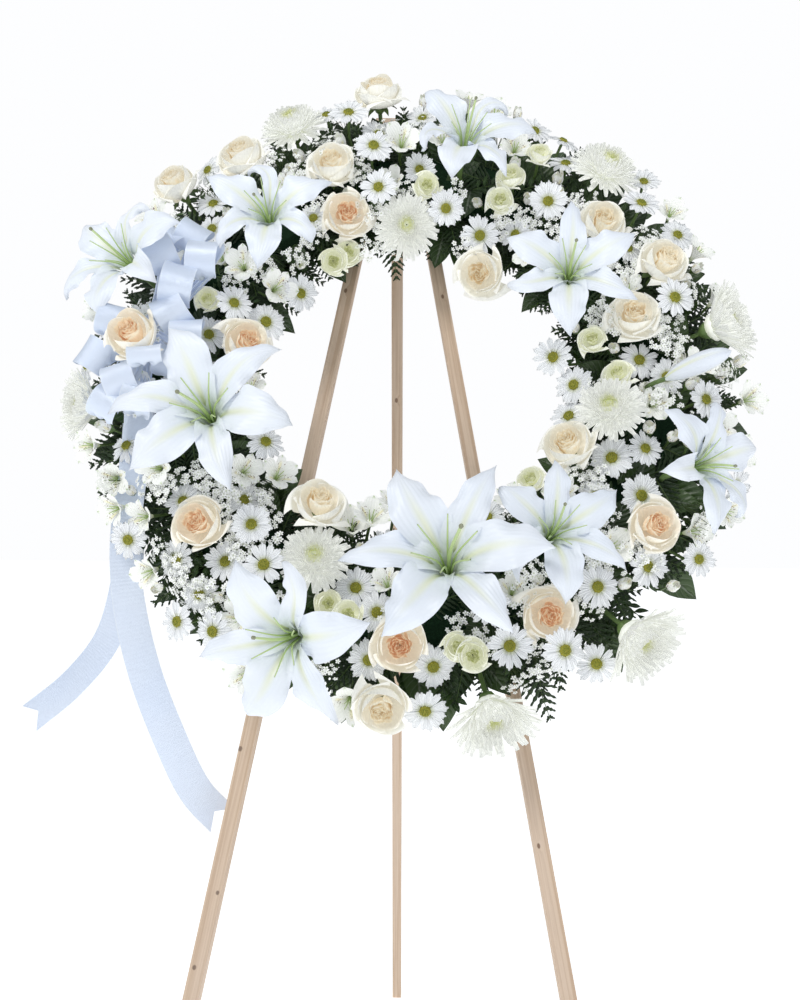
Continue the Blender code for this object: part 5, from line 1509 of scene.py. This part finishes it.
swing = math.acos(BOLT.z / LEG_LENGTH)
left_down, left_side = leg_axis(-1)
right_down, right_side = leg_axis(1)
rear_down = Vector((0, math.sin(swing), -math.cos(swing)))
LEFT_ASIDE = -LEG_OFFSET * math.cos(SPLAY)
left_pine = pine_finish("pine_left", left_down, left_side, LEFT_ASIDE,
                        ((0.254, -0.002, 0.0022), (0.61, 0.003, 0.002)),
                        ((0.766, 0.006, 0.0024), (0.835, -0.006, 0.0026),
                         (0.983, 0.004, 0.0020), (1.057, -0.003, 0.0022)))
right_pine = pine_finish("pine_right", right_down, right_side, -LEFT_ASIDE,
                         ((0.262, 0.001, 0.0020), (0.93, -0.003, 0.0018)))
rear_pine = pine_finish("pine_rear", rear_down, (1, 0, 0), 0.0, ((0.37, -0.001, 0.0024), (0.80, 0.003, 0.0018)))
cleat_pine = pine_finish("pine_cleat", (1, 0, 0), tuple(up_axis))


def dress(node, finish, bevel=0.0):
    """Gives a node of the model a finish, and softens its sawn edges."""
    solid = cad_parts[node]
    solid.data.materials.clear()
    solid.data.materials.append(finish.material)
    if bevel:
        soften = solid.modifiers.new("soften", "BEVEL")
        soften.width = bevel
        soften.segments = 2
        soften.limit_method = "ANGLE"
        soften.angle_limit = math.radians(50)
    print("dressed", node)


dress("leg_front_left", left_pine, 0.0009)
dress("leg_front_right", right_pine, 0.0009)
dress("leg_rear", rear_pine, 0.0009)
dress("head_cleat", cleat_pine, 0.0006)

# %% [markdown]
# ## Foam, tray, wire and bolt
#
# These small made parts are seen from behind and from the side. Wet foam is dark and crumbly, the
# tray is plain moulded plastic with a faint orange-peel skin, and the wire and the bolt are bright
# zinc with fine scratches.

# %% Made parts
foam_finish = Finish("floral_foam", {"Roughness": 0.95, "Specular IOR Level": 0.15})
foam_grit = foam_finish.noise(700.0, 4.0)
foam_finish.feed("Base Color", foam_finish.mix(foam_grit, (0.004, 0.014, 0.007), (0.014, 0.042, 0.018)))
foam_finish.bump(foam_grit + foam_finish.noise(150.0) * 0.8, 0.0012)

tray_finish = Finish("tray_plastic", {"Specular IOR Level": 0.45})
tray_skin = tray_finish.noise(520.0, 2.0)
tray_green = tray_finish.mix(tray_finish.noise(18.0), (0.010, 0.042, 0.022), (0.018, 0.060, 0.032))
tray_finish.feed("Base Color", tray_green)
tray_finish.feed("Roughness", tray_skin * 0.15 + 0.36)
tray_finish.bump(tray_skin, 0.0002)


def zinc_finish(name, tint):
    made = Finish(name, {"Metallic": 1.0})
    scratch = made.noise(600.0, 3.0)
    made.feed("Base Color", made.mix(made.noise(60.0), tint, [0.8 * a for a in tint]))
    made.feed("Roughness", scratch * 0.25 + 0.24)
    made.bump(scratch, 0.0001)
    return made


dress("foam_ring", foam_finish)
dress("foam_tray", tray_finish, 0.0005)
wire_finish = zinc_finish("tie_wire", (0.60, 0.61, 0.62))
for wire in ("wire_tie_left", "wire_tie_right", "wire_tie_top"):
    dress(wire, wire_finish)
dress("hinge_bolt", zinc_finish("bolt_zinc", (0.70, 0.70, 0.68)))

# %% Measure and finish
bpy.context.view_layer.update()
triangles = 0
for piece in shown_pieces():
    if piece.type == "MESH":
        triangles += sum(len(face.vertices) - 2 for face in piece.data.polygons)
print("triangles", triangles)
